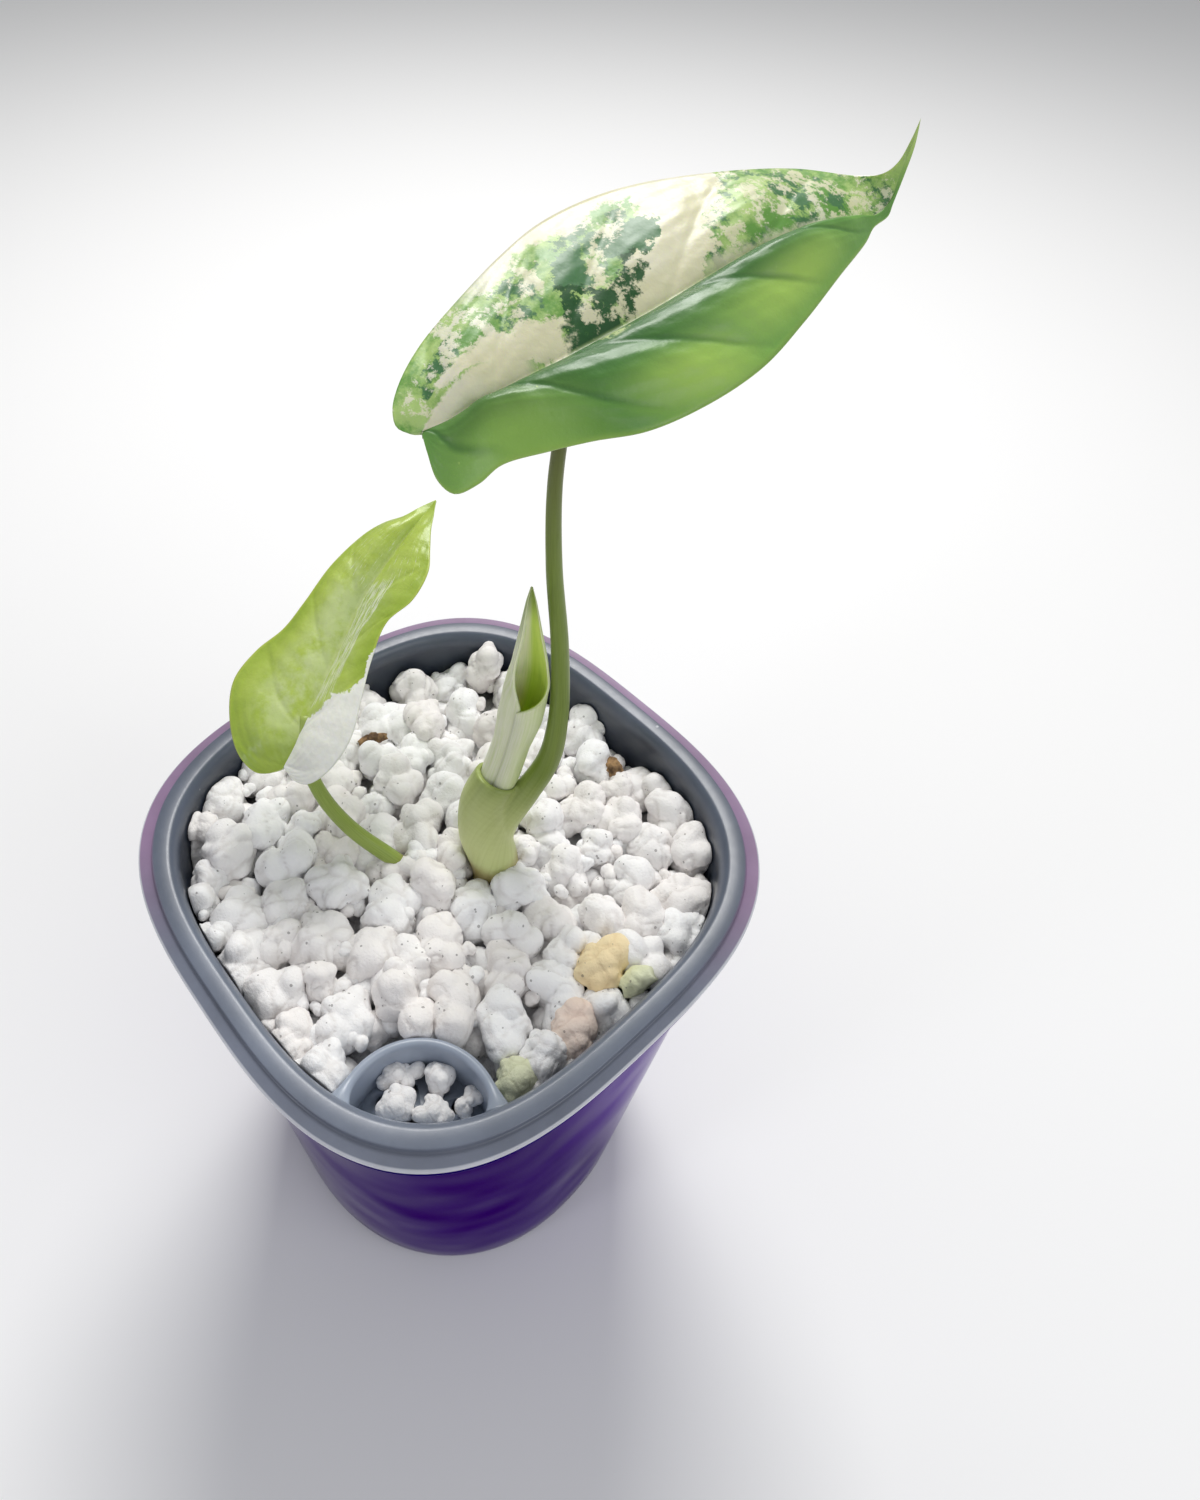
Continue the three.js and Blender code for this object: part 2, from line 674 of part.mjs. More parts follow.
const bladeShapes = {
  leaf_large: {
    rib: [
      [65.1, 1, 10], [64.1, 0.4, 5.9], [62.7, 0, 2.4], [60.2, -1.2, -1.7], [55.8, -1.5, -2.6],
      [51.3, -0.6, -1.3], [42.4, 0.1, 0.3], [34.5, 0.3, 1], [22.7, 0.1, 0.8], [11.9, -0.1, 0.3], [0, 0, 0],
      [-6.9, 0.3, -0.2], [-13.3, 0.6, -0.5], [-19.7, 0.9, -0.8], [-23.2, 1.4, -1],
    ],
    far: [
      [65.1, 1, 10], [64.4, 1.1, 6.3], [62.7, 1, 3.3], [61.2, 1.9, 1.5], [59.1, 4.6, 0.4],
      [52.1, 11.2, 0.9], [40.2, 15.9, 2.8], [27.8, 20.6, 3.3], [19.4, 22.2, 3.3], [10.5, 22, 3.2],
      [2.2, 19.7, 3.1], [-7.2, 16, 2.9], [-16.5, 12, 2.1], [-22.3, 8.1, 1.5], [-25, 5.3, 0.8],
      [-25.7, 3.3, 0], [-24.7, 1.9, -0.5], [-23.2, 1.4, -1],
    ],
    near: [
      [65.1, 1, 10], [64.4, 0.1, 5.9], [63, -0.6, 2.3], [60.8, -1.6, -1.8], [59.3, -2.4, -2.8],
      [56.3, -2.6, -3.3], [52.4, -4.5, -3.2], [43.1, -8, -2.5], [31.8, -12.2, -2], [20.5, -15.6, -1.6],
      [10.2, -16.3, -1.6], [0.8, -15.2, -1.6], [-5.7, -12.1, -2], [-11.1, -9.8, -2.5], [-16.8, -7.4, -3.5],
      [-20.5, -7.6, -4.4], [-23.9, -7, -4.6], [-24.8, -4.5, -3.8], [-24, -1, -2], [-23.2, 1.4, -1],
    ],
    jointRow: 22,
    rows: 34,
    columns: 6,
    marginJoint: { far: 0.56, near: 0.56 },
    arch: { far: 2.2, near: 4.2 },
    skew: { far: 0.8, near: 0.7 },
    veins: 6,
    sweep: 0.14,
    quilt: 0.6,
    plainTip: 0.16,
    colour: 0x4f8f3a,
  },
  leaf_small: {
    rib: [
      [48.3, -3.5, -1.1], [42.5, -2.9, 0], [36.1, -1.8, 0.5], [23.4, 0.3, 0.4], [13.2, 0.1, 0],
      [4.9, 0, 0], [0, 0, 0], [-2.4, -0.2, -0.1], [-5.6, -0.2, -0.6], [-9.7, 0.5, -1.5],
    ],
    far: [
      [48.3, -3.5, -1.1], [45.4, -1.6, 0], [42.4, 0.1, 1], [40, 2.9, 1.6], [36.5, 5.4, 2.2],
      [28.1, 8.5, 3], [19.3, 10.1, 3], [13.4, 11.8, 2.6], [8, 15.1, 2.4], [1.6, 16.4, 2.5],
      [-4.8, 13.7, 2.2], [-10.5, 8.8, 1.1], [-12.2, 4.9, -0.5], [-11.3, 2.5, -1.4], [-9.7, 0.5, -1.5],
    ],
    near: [
      [48.3, -3.5, -1.1], [44.5, -5.3, 0], [40.7, -6.9, 1], [36.4, -9, 1.6], [31.6, -11.1, 2.1],
      [25.2, -11.1, 2.8], [19.6, -8.7, 3.5], [12, -9.3, 3.5], [4.8, -10.7, 3.1], [-2.1, -11.6, 2.1],
      [-7.5, -9.7, 0.6], [-10.9, -6, -1], [-11.2, -2.9, -1.5], [-9.7, 0.5, -1.5],
    ],
    jointRow: 16,
    rows: 22,
    columns: 5,
    marginJoint: { far: 0.6, near: 0.6 },
    arch: { far: 1.8, near: 1.2 },
    skew: { far: 0.8, near: 0.8 },
    veins: 5,
    sweep: 0.12,
    quilt: 0.3,
    plainTip: 0.08,
    colour: 0x9cc24a,
  },
};

function placeMatrix({ joint, azimuth, pitch, roll }) {
  const turn = THREE.MathUtils.degToRad(azimuth);
  const nod = THREE.MathUtils.degToRad(pitch);
  const tilt = THREE.MathUtils.degToRad(roll);
  const heading = new THREE.Vector3(Math.cos(turn), Math.sin(turn), 0);
  const along = heading.multiplyScalar(Math.cos(nod)).setZ(Math.sin(nod));
  const level = new THREE.Vector3(-Math.sin(turn), Math.cos(turn), 0);
  const upright = new THREE.Vector3().crossVectors(along, level);
  const across = level.multiplyScalar(Math.cos(tilt)).addScaledVector(upright, Math.sin(tilt));
  const normal = new THREE.Vector3().crossVectors(along, across);
  return new THREE.Matrix4().makeBasis(along, across, normal).setPosition(vector(joint));
}

// Both faces of a blade are the same net of triangles, one thickness apart. With a gap given, it is
// the space from that far below the blade to well above it.
function bladeGeometry(shape, gap = 0) {
  const curves = {};
  for (const name of ["rib", "far", "near"]) {
    curves[name] = new THREE.CatmullRomCurve3(shape[name].map(vector), false, "centripetal");
    curves[name].arcLengthDivisions = 400;
  }
  const ribJoint = ribShareAtJoint(curves.rib);
  const share = (row, joint) => {
    if (row <= shape.jointRow) return (joint * row) / shape.jointRow;
    return joint + ((1 - joint) * (row - shape.jointRow)) / (shape.rows - shape.jointRow);
  };
  const positions = [];
  const index = [];
  const known = new Map();
  const corner = (side, row, column, layer) => {
    const shared = column === 0 || row === 0 || row === shape.rows;
    const key = [shared ? "rib" : side, row, row === 0 || row === shape.rows ? 0 : column, layer].join(" ");
    if (!known.has(key)) {
      const inner = curves.rib.getPointAt(share(row, ribJoint));
      const outer = curves[side].getPointAt(share(row, shape.marginJoint[side]));
      const v = column / shape.columns;
      const t = row / shape.rows;
      const point = inner.lerp(outer, v);
      point.z += bladeRise(shape, side, t, v);
      if (layer === 1) point.z -= BLADE_THICKNESS + gap + RIB_DEPTH * Math.pow(1 - v, 8) * smooth(0, 0.2, t);
      if (layer === 0) point.z += 20 * gap;
      known.set(key, positions.length / 3);
      positions.push(point.x, point.y, point.z);
    }
    return known.get(key);
  };
  const face = (a, b, c, flip) => {
    if (a === b || b === c || a === c) return;
    if (flip) index.push(a, c, b);
    else index.push(a, b, c);
  };
  for (const side of ["far", "near"]) {
    for (let row = 0; row < shape.rows; row += 1) {
      for (const layer of [0, 1]) {
        const flip = (side === "near") !== (layer === 1);
        for (let column = 0; column < shape.columns; column += 1) {
          const a = corner(side, row, column, layer);
          const b = corner(side, row, column + 1, layer);
          const c = corner(side, row + 1, column + 1, layer);
          const d = corner(side, row + 1, column, layer);
          face(a, b, c, flip);
          face(a, c, d, flip);
        }
      }
      const a = corner(side, row, shape.columns, 0);
      const b = corner(side, row + 1, shape.columns, 0);
      const c = corner(side, row + 1, shape.columns, 1);
      const d = corner(side, row, shape.columns, 1);
      face(a, c, b, side === "near");
      face(a, d, c, side === "near");
    }
  }
  const geometry = new THREE.BufferGeometry();
  geometry.setAttribute("position", new THREE.Float32BufferAttribute(positions, 3));
  geometry.setIndex(index);
  return geometry;
}

function ribShareAtJoint(rib) {
  let best = 0;
  let nearest = Infinity;
  for (let step = 0; step <= 400; step += 1) {
    const distance = rib.getPointAt(step / 400).length();
    if (distance < nearest) {
      nearest = distance;
      best = step / 400;
    }
  }
  return best;
}

// How far the blade stands above the straight line from rib to margin: an arch, and the quilting
// between the side veins.
function bladeRise(shape, side, t, v) {
  const window = smooth(0.5 * shape.plainTip, 2.2 * shape.plainTip, t) * (1 - smooth(0.86, 1, t));
  const arch = shape.arch[side] * Math.sin(Math.PI * Math.pow(v, shape.skew[side]));
  const vein = Math.pow(0.5 + 0.5 * Math.cos(2 * Math.PI * shape.veins * (t + shape.sweep * v)), 2);
  return window * (arch - shape.quilt * vein * Math.sin(Math.PI * v));
}

// The object

const potted = new THREE.Group();

function addPiece(name, geometry, colour, roughness, metalness, matrix) {
  const material = new THREE.MeshStandardMaterial({ color: colour, roughness, metalness });
  const mesh = new THREE.Mesh(geometry, material);
  mesh.name = name;
  if (matrix) matrix.decompose(mesh.position, mesh.quaternion, mesh.scale);
  potted.add(mesh);
}

addPiece("outer_pot", outerPot(), 0x2e1a66, 0.15, 0.5);
addPiece("inner_basket", innerBasket(), 0x76808f, 0.45, 0);
addPiece("perlite_bed", perliteBed(), 0xf0efec, 0.9, 0);
for (const [name, plan] of Object.entries(singleGrains)) {
  addPiece(name, toGeometry(seated(singleGrain(plan))), plan.colour, 0.9, 0);
}
const besideTan = toSolid(singleGrain(singleGrains.grain_tan, GAP));
addPiece("grain_lime_far", toGeometry(seated(limeFarGrain()).subtract(besideTan)), 0xdadfc0, 0.9, 0);
for (const [name, chip] of Object.entries(barkChips)) {
  addPiece(name, barkGeometry(chip), 0x7a4f2a, 0.9, 0);
}
for (const [name, geometry] of Object.entries(makePortGrains())) {
  addPiece(name, geometry, 0xf3f2f0, 0.9, 0);
}
addPiece("rootstock", rootstock(), 0xc9b48a, 0.8, 0);
addPiece("petiole_large", petioleLarge(), 0x7f9440, 0.5, 0);
addPiece("petiole_small", petioleSmall(), 0x7f9a3e, 0.5, 0);
addPiece("leaf_new", leafNew(), 0xc8d69a, 0.5, 0);
for (const [name, shape] of Object.entries(bladeShapes)) {
  addPiece(name, bladeGeometry(shape), shape.colour, 0.4, 0, placeMatrix(bladePlaces[name]));
}

export default potted;
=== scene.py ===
# %% [markdown]
# A potted silver dragon alocasia with variegated leaves. The real thing is a small plant in coarse
# white perlite, in a frosted plastic basket that hangs by its flange in a glossy violet square pot.
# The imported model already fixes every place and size, so this lesson loads it first and then gives
# each of its pieces a finer mesh and a finish of its own. Lengths are typed in millimetres, which
# suit a pot of this size, and are turned into metres when a mesh is made.
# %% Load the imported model
import math

import bmesh
import bpy
import numpy as np
from mathutils import Matrix, Vector


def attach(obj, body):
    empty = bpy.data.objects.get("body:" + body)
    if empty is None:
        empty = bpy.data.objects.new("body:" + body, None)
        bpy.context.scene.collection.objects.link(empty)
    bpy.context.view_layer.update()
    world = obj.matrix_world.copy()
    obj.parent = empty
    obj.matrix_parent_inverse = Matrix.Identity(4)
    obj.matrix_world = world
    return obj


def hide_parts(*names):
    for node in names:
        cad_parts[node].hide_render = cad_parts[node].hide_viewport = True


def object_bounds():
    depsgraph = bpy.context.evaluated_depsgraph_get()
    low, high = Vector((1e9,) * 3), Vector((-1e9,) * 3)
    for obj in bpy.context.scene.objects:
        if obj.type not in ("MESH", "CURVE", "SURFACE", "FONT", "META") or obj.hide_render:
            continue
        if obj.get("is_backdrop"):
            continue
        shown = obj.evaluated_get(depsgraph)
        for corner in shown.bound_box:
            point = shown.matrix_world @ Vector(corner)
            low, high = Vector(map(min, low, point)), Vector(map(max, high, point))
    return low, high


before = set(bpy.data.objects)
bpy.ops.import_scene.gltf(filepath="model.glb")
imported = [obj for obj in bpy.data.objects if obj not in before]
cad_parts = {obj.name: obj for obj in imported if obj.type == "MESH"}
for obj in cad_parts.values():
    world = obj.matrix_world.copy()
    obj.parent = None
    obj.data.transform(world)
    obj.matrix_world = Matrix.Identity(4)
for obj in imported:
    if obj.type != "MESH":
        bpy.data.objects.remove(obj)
cad_low, cad_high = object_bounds()
MM = 0.001
print("nodes:", len(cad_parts), "height in mm:", round(1000 * cad_high.z, 1))

# %% [markdown]
# The camera is made first. It looks down into the pot from the corner that holds the fill port,
# with the wide lens of a phone. Three rows give its right, up and back directions. The shift moves
# the middle of the picture from the lens axis to where the photograph was framed.
# %% Camera
CAMERA_PLACE = Vector((96.344, -72.484, 275.148)) * MM
CAMERA_RIGHT = Vector((0.653936, 0.756478, 0.010449))
CAMERA_UP = Vector((-0.482264, 0.406172, 0.776174))
CAMERA_BACK = Vector((0.582914, -0.512607, 0.630433))
PICTURE_WIDTH, PICTURE_HEIGHT = 1200, 1500
FOCAL_PIXELS = 1100
LENS_AXIS_PIXEL = (502.6, 508.5)
SENSOR = 36

camera_data = bpy.data.cameras.new("camera")
camera = bpy.data.objects.new("camera", camera_data)
bpy.context.scene.collection.objects.link(camera)
turn = Matrix((CAMERA_RIGHT, CAMERA_UP, CAMERA_BACK)).transposed()
camera.matrix_world = Matrix.Translation(CAMERA_PLACE) @ turn.to_4x4()
camera_data.sensor_width = SENSOR
camera_data.lens = SENSOR * FOCAL_PIXELS / PICTURE_HEIGHT
camera_data.shift_x = (PICTURE_WIDTH / 2 - LENS_AXIS_PIXEL[0]) / PICTURE_HEIGHT
camera_data.shift_y = (LENS_AXIS_PIXEL[1] - PICTURE_HEIGHT / 2) / PICTURE_HEIGHT
camera_data.clip_start = 0.01
bpy.context.scene.camera = camera
print("lens:", round(camera_data.lens, 2), "mm")

# %% [markdown]
# Everything here is drawn from three kinds of curve. A smooth line through points gives a stalk its
# route and a blade its outline. A square with bowed sides gives the pot its plan. A seeded draw
# gives every grain its own shape, and gives the same shapes on each run.
# %% Curves
def spline(points, samples):
    """Points evenly spaced along a centripetal Catmull-Rom curve, at the shares given."""
    points = np.array(points, float)
    first = 2 * points[0] - points[1]
    last = 2 * points[-1] - points[-2]
    padded = np.vstack([first, points, last])
    dense = []
    for place in range(len(points) - 1):
        p0, p1, p2, p3 = padded[place:place + 4]
        d0, d1, d2 = (np.linalg.norm(b - a) ** 0.5 for a, b in ((p0, p1), (p1, p2), (p2, p3)))
        slope1 = ((p1 - p0) / d0 - (p2 - p0) / (d0 + d1) + (p2 - p1) / d1) * d1
        slope2 = ((p2 - p1) / d1 - (p3 - p1) / (d1 + d2) + (p3 - p2) / d2) * d1
        w = np.linspace(0, 1, 60, endpoint=place == len(points) - 2)[:, None]
        dense.append(
            p1 + slope1 * w + (3 * (p2 - p1) - 2 * slope1 - slope2) * w ** 2
            + (2 * (p1 - p2) + slope1 + slope2) * w ** 3
        )
    dense = np.vstack(dense)
    steps = np.linalg.norm(np.diff(dense, axis=0), axis=1)
    length = np.concatenate([[0], np.cumsum(steps)])
    length /= length[-1]
    return np.stack([np.interp(samples, length, dense[:, axis]) for axis in range(3)], axis=-1)


def smooth(low, high, value):
    share = np.clip((np.asarray(value, float) - low) / (high - low), 0, 1)
    return share * share * (3 - 2 * share)


def square_reach(x, y, power):
    return (np.abs(x) ** power + np.abs(y) ** power) ** (1 / power)


def square_ring(half, power, z, sides=240):
    angle = 2 * np.pi * np.arange(sides) / sides
    x, y = np.cos(angle), np.sin(angle)
    reach = half / square_reach(x, y, power)
    return np.stack([reach * x, reach * y, np.full(sides, float(z))], axis=-1)


class Draw:
    """A small repeatable random draw."""

    def __init__(self, seed):
        self.state = seed

    def __call__(self):
        self.state = (self.state * 1664525 + 1013904223) % 4294967296
        return self.state / 4294967296


print("a pot ring has", len(square_ring(50, 2.97, 0)), "points")

# %% [markdown]
# Meshes could be made with operators and modifiers, but rings and grids of points computed with
# numpy are quicker and stay exact. Two rings of equal count are joined with a strip of quads, and
# a fan closes an end. Only cuts and one melt are left to modifiers, which are applied at once. A
# mesh keeps named values on its points, which the materials read later.
# %% Mesh helpers
def strip(first, second, count):
    """Quads between two rings whose points start at the numbers first and second."""
    here = np.arange(count)
    after = (here + 1) % count
    return np.stack([first + here, first + after, second + after, second + here], axis=-1)


def loft(rings):
    """Points and faces of a closed body through rings, with a fan over each end."""
    count = len(rings[0])
    points = np.vstack(rings)
    faces = [strip(i * count, (i + 1) * count, count) for i in range(len(rings) - 1)]
    faces = np.vstack(faces).tolist()
    hubs = [rings[0].mean(axis=0), rings[-1].mean(axis=0)]
    low, high = len(points), len(points) + 1
    top = (len(rings) - 1) * count
    for side in range(count):
        after = (side + 1) % count
        faces.append([low, after, side])
        faces.append([high, top + side, top + after])
    return np.vstack([points, hubs]), faces


def store(mesh, name, values):
    """Keeps a named value for each point of a mesh."""
    layer = mesh.attributes.new(name, "FLOAT", "POINT")
    layer.data.foreach_set("value", np.asarray(values, np.float32))


def new_piece(name, points, faces, values=None):
    """A smooth-shaded mesh object from millimetre points, with named values on its points."""
    mesh = bpy.data.meshes.new(name)
    mesh.from_pydata((np.asarray(points) * MM).tolist(), [], faces)
    for key, value in (values or {}).items():
        store(mesh, key, value)
    mesh.update()
    mesh.shade_smooth()
    piece = bpy.data.objects.new(name, mesh)
    bpy.context.scene.collection.objects.link(piece)
    return piece


def tidy(piece, distance=0.001):
    """Merges points that share a place and turns every face outwards."""
    work = bmesh.new()
    work.from_mesh(piece.data)
    bmesh.ops.remove_doubles(work, verts=work.verts, dist=distance * MM)
    bmesh.ops.dissolve_degenerate(work, edges=work.edges, dist=distance * MM)
    bmesh.ops.recalc_face_normals(work, faces=work.faces)
    work.to_mesh(piece.data)
    work.free()
    piece.data.shade_smooth()
    return piece


def lofted(name, rings):
    """A closed body through rings, as a piece."""
    return tidy(new_piece(name, *loft(rings)))


def combined(parts):
    """One set of points and faces from several."""
    points, faces, start = [], [], 0
    for part_points, part_faces in parts:
        points.append(part_points)
        faces += [[start + corner for corner in face] for face in part_faces]
        start += len(part_points)
    return np.vstack(points), faces


def applied(piece):
    """Swaps a piece's mesh for what its modifiers make of it."""
    bpy.context.view_layer.update()
    result = bpy.data.meshes.new_from_object(piece.evaluated_get(bpy.context.evaluated_depsgraph_get()))
    piece.modifiers.clear()
    old = piece.data
    piece.data = result
    result.shade_smooth()
    bpy.data.meshes.remove(old)
    return piece


def cut(piece, bodies):
    """Cuts closed bodies, given as points and faces, out of a piece."""
    cutter = tidy(new_piece("cutter", *combined(bodies)))
    change = piece.modifiers.new("cut", "BOOLEAN")
    change.operation = "DIFFERENCE"
    change.solver = "EXACT"
    change.object = cutter
    applied(piece)
    bpy.data.objects.remove(cutter)
    return piece


def stalk_route(points, radii, steps):
    """Evenly spaced points along a stalk, with its direction and its radius at each."""
    shares = np.linspace(0, 1, steps + 1)
    centre = spline(points, shares)
    along = np.gradient(centre, axis=0)
    along /= np.linalg.norm(along, axis=1)[:, None]
    lengths = np.linalg.norm(np.diff(np.array(points, float), axis=0), axis=1)
    marks = np.concatenate([[0], np.cumsum(lengths)]) / lengths.sum()
    return centre, along, np.interp(shares, marks, radii)


def crossways(along, reference):
    """Directions square to a route that point as nearly as they can like the reference."""
    across = reference - along * (along @ reference)[:, None]
    return across / np.linalg.norm(across, axis=1)[:, None]


def tube(points, radii, sides, steps):
    """A round stalk: its points and faces, its middle line, and two directions across it."""
    centre, along, radius = stalk_route(points, radii, steps)
    across = crossways(along, np.array([0.8, -0.6, 0]))
    side = np.cross(along, across)
    angle = 2 * np.pi * np.arange(sides) / sides
    rings = []
    for i in range(steps + 1):
        offset = np.outer(np.cos(angle), across[i]) + np.outer(np.sin(angle), side[i])
        rings.append(centre[i] + radius[i] * offset)
    return loft(rings), centre, (across, side)


print("helpers ready")

# %% [markdown]
# A material is a tree of nodes. Written out node by node, even a simple finish takes a page. So a
# value that changes over a surface is wrapped in a small class here: adding or multiplying two of
# them adds the Math node, and a finish reads like a formula. An input can be a number, a colour or
# another such value.
# %% Node helpers
class Field:
    """A value, colour or vector that changes over the surface: one output of a node."""

    def __init__(self, tree, socket):
        self.tree = tree
        self.socket = socket

    def __add__(self, other):
        return maths("ADD", self, other)

    def __sub__(self, other):
        return maths("SUBTRACT", self, other)

    def __rsub__(self, other):
        return maths("SUBTRACT", other, self)

    def __mul__(self, other):
        return maths("MULTIPLY", self, other)

    def __abs__(self):
        return maths("ABSOLUTE", self)

    def feeds(self, target, name):
        self.tree.links.new(self.socket, target.inputs[name])


def node(tree, kind, inputs=None, output=0, **settings):
    """Makes a node with its settings and inputs, and gives the field that it puts out."""
    made = tree.nodes.new(kind)
    for key, value in settings.items():
        setattr(made, key, value)
    for key, value in (inputs or {}).items():
        if isinstance(value, Field):
            tree.links.new(value.socket, made.inputs[key])
        else:
            made.inputs[key].default_value = value
    return Field(tree, made.outputs[output])


def tree_of(*values):
    return next(value.tree for value in values if isinstance(value, Field))


def maths(operation, a, b=0.0):
    return node(tree_of(a, b), "ShaderNodeMath", {0: a, 1: b}, operation=operation)


def either(first, *others):
    """The largest of several shares at each point."""
    for other in others:
        first = maths("MAXIMUM", first, other)
    return first


def span(value, low, high, out_low=0.0, out_high=1.0):
    """A soft step up from low to high."""
    inputs = {"Value": value, "From Min": low, "From Max": high, "To Min": out_low, "To Max": out_high}
    return node(value.tree, "ShaderNodeMapRange", inputs, interpolation_type="SMOOTHSTEP")


def falling(value, low, high):
    """A soft step down from low to high."""
    return span(value, low, high, 1.0, 0.0)


def window(value, low, high, soft):
    """One between low and high, with soft ends."""
    return span(value, low - soft, low + soft) * falling(value, high - soft, high + soft)


def mix(share, first, second):
    """The first colour where the share is 0, and the second where it is 1."""
    inputs = {0: share, 6: first, 7: second}
    return node(tree_of(share, first, second), "ShaderNodeMix", inputs, output=2, data_type="RGBA")


def layered(colour, layers):
    """Lays colours over a first one, in turn, each by its own share."""
    for share, layer in layers:
        colour = mix(share, colour, layer)
    return colour


def shaded(colour, by):
    """A colour multiplied part by part."""
    return node(colour.tree, "ShaderNodeVectorMath", {0: colour, 1: by}, operation="MULTIPLY")


def rgb(red, green, blue):
    """A colour as seen on a screen, 0 to 255, turned into the light that Blender mixes."""
    def light(value):
        value /= 255
        return value / 12.92 if value <= 0.04045 else ((value + 0.055) / 1.055) ** 2.4
    return (light(red), light(green), light(blue), 1)


def attribute(tree, name):
    return node(tree, "ShaderNodeAttribute", attribute_name=name, output="Fac")


def object_place(tree):
    return node(tree, "ShaderNodeTexCoord", output="Object")


def point(tree, x, y, z=0.0):
    return node(tree, "ShaderNodeCombineXYZ", {0: x, 1: y, 2: z})


def parts_of(vector):
    split = node(vector.tree, "ShaderNodeSeparateXYZ", {"Vector": vector}).socket.node
    return [Field(vector.tree, socket) for socket in split.outputs]


def noise(vector, scale, detail, roughness, output="Fac"):
    inputs = {"Vector": vector, "Scale": scale, "Detail": detail, "Roughness": roughness}
    return node(vector.tree, "ShaderNodeTexNoise", inputs, output=output)


def new_material(name, **fixed):
    """A material with its Principled shader; fixed values are set on the shader's own sockets."""
    made = bpy.data.materials.new(name)
    made.use_nodes = True
    shader = made.node_tree.nodes["Principled BSDF"]
    for key, value in fixed.items():
        shader.inputs[key.replace("_", " ")].default_value = value
    return made, made.node_tree, shader


def dress(piece, material):
    """Gives a piece one material in place of any that it has."""
    piece.data.materials.clear()
    piece.data.materials.append(material)


def relief(shader, height, distance, strength):
    """Fine relief from a height, with its depth in millimetres."""
    inputs = {"Height": height, "Distance": distance * MM, "Strength": strength}
    node(height.tree, "ShaderNodeBump", inputs, output="Normal").feeds(shader, "Normal")


print("node helpers ready")

# %% [markdown]
# Dust, specks and pits turn up on the perlite, the plastic and the leaves alike, at different
# sizes. One node group makes them from a place and a scale: a soft mottle, a few hard specks, and a
# fine grain for relief. Each material places the group and chooses how much of each to use.
# %% Shared group: mottle, specks and grain
def build_surface_group():
    group = bpy.data.node_groups.new("surface mottle", "ShaderNodeTree")
    face = group.interface
    face.new_socket("Place", in_out="INPUT", socket_type="NodeSocketVector")
    for name, value in (("Scale", 100), ("Speck Share", 0.1)):
        face.new_socket(name, in_out="INPUT", socket_type="NodeSocketFloat").default_value = value
    for name in ("Mottle", "Specks", "Grain"):
        face.new_socket(name, in_out="OUTPUT", socket_type="NodeSocketFloat")
    source = group.nodes.new("NodeGroupInput").outputs
    target = group.nodes.new("NodeGroupOutput")
    place, scale, share = (Field(group, source[name]) for name in ("Place", "Scale", "Speck Share"))
    noise(place, scale, 5, 0.6).feeds(target, "Mottle")
    noise(place, scale * 9.0, 3, 0.6).feeds(target, "Grain")
    cells = node(group, "ShaderNodeTexVoronoi", {"Vector": place, "Scale": scale * 3.4}, "Distance")
    chance = noise(place, scale * 2.1, 1, 0.5)
    span(share * span(chance, 0.48, 0.72) - cells, 0.0, 0.05).feeds(target, "Specks")
    return group


surface_group = build_surface_group()


def surface(tree, scale, speck_share):
    """Places the shared group, and gives its mottle, specks and grain."""
    inputs = {"Place": object_place(tree), "Scale": scale, "Speck Share": speck_share}
    made = node(tree, "ShaderNodeGroup", inputs, node_tree=surface_group).socket.node
    return [Field(tree, made.outputs[name]) for name in ("Mottle", "Specks", "Grain")]


print("group sockets:", [item.name for item in surface_group.interface.items_tree])

# %% [markdown]
# The studio is plain: a pale floor, a white surround, a light from the window side, a weaker one
# opposite and a low strip in front. A glossy pot shows what stands round it, so the lights are few,
# large and soft.
# %% Studio
def area_light(name, place, target, size, power, colour):
    data = bpy.data.lights.new(name, "AREA")
    data.shape = "RECTANGLE"
    data.size, data.size_y = size
    data.energy = power
    data.color = colour
    lamp = bpy.data.objects.new(name, data)
    bpy.context.scene.collection.objects.link(lamp)
    lamp.location = place
    lamp.rotation_mode = "QUATERNION"
    lamp.rotation_quaternion = (Vector(target) - Vector(place)).to_track_quat("-Z", "Y")


pot_middle = (0, 0, 0.1)
area_light("window", (-0.35, 0.35, 0.75), pot_middle, (0.36, 0.36), 5.0, (1.0, 0.99, 0.97))
area_light("fill", (0.6, 0.1, 0.5), pot_middle, (0.5, 0.4), 1.2, (0.96, 0.98, 1.0))
area_light("front_strip", (-0.1, -0.7, 0.35), (0, 0, 0.05), (0.12, 0.4), 0.6, (0.9, 0.92, 1.0))

world = bpy.data.worlds.new("white surround")
bpy.context.scene.world = world
world.use_nodes = True
surround = world.node_tree.nodes["Background"].inputs
surround["Color"].default_value = (0.97, 0.98, 1.0, 1)
surround["Strength"].default_value = 0.36

FLOOR_HALF = 2500
floor_points = FLOOR_HALF * np.array([(-1, -1, 0), (1, -1, 0), (1, 1, 0), (-1, 1, 0)])
floor = new_piece("floor", floor_points, [[0, 1, 2, 3]])
floor_material, _, _ = new_material("floor", Base_Color=(0.94, 0.94, 0.94, 1), Roughness=0.9)
dress(floor, floor_material)
floor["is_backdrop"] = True
bpy.context.scene.view_settings.view_transform = "Standard"

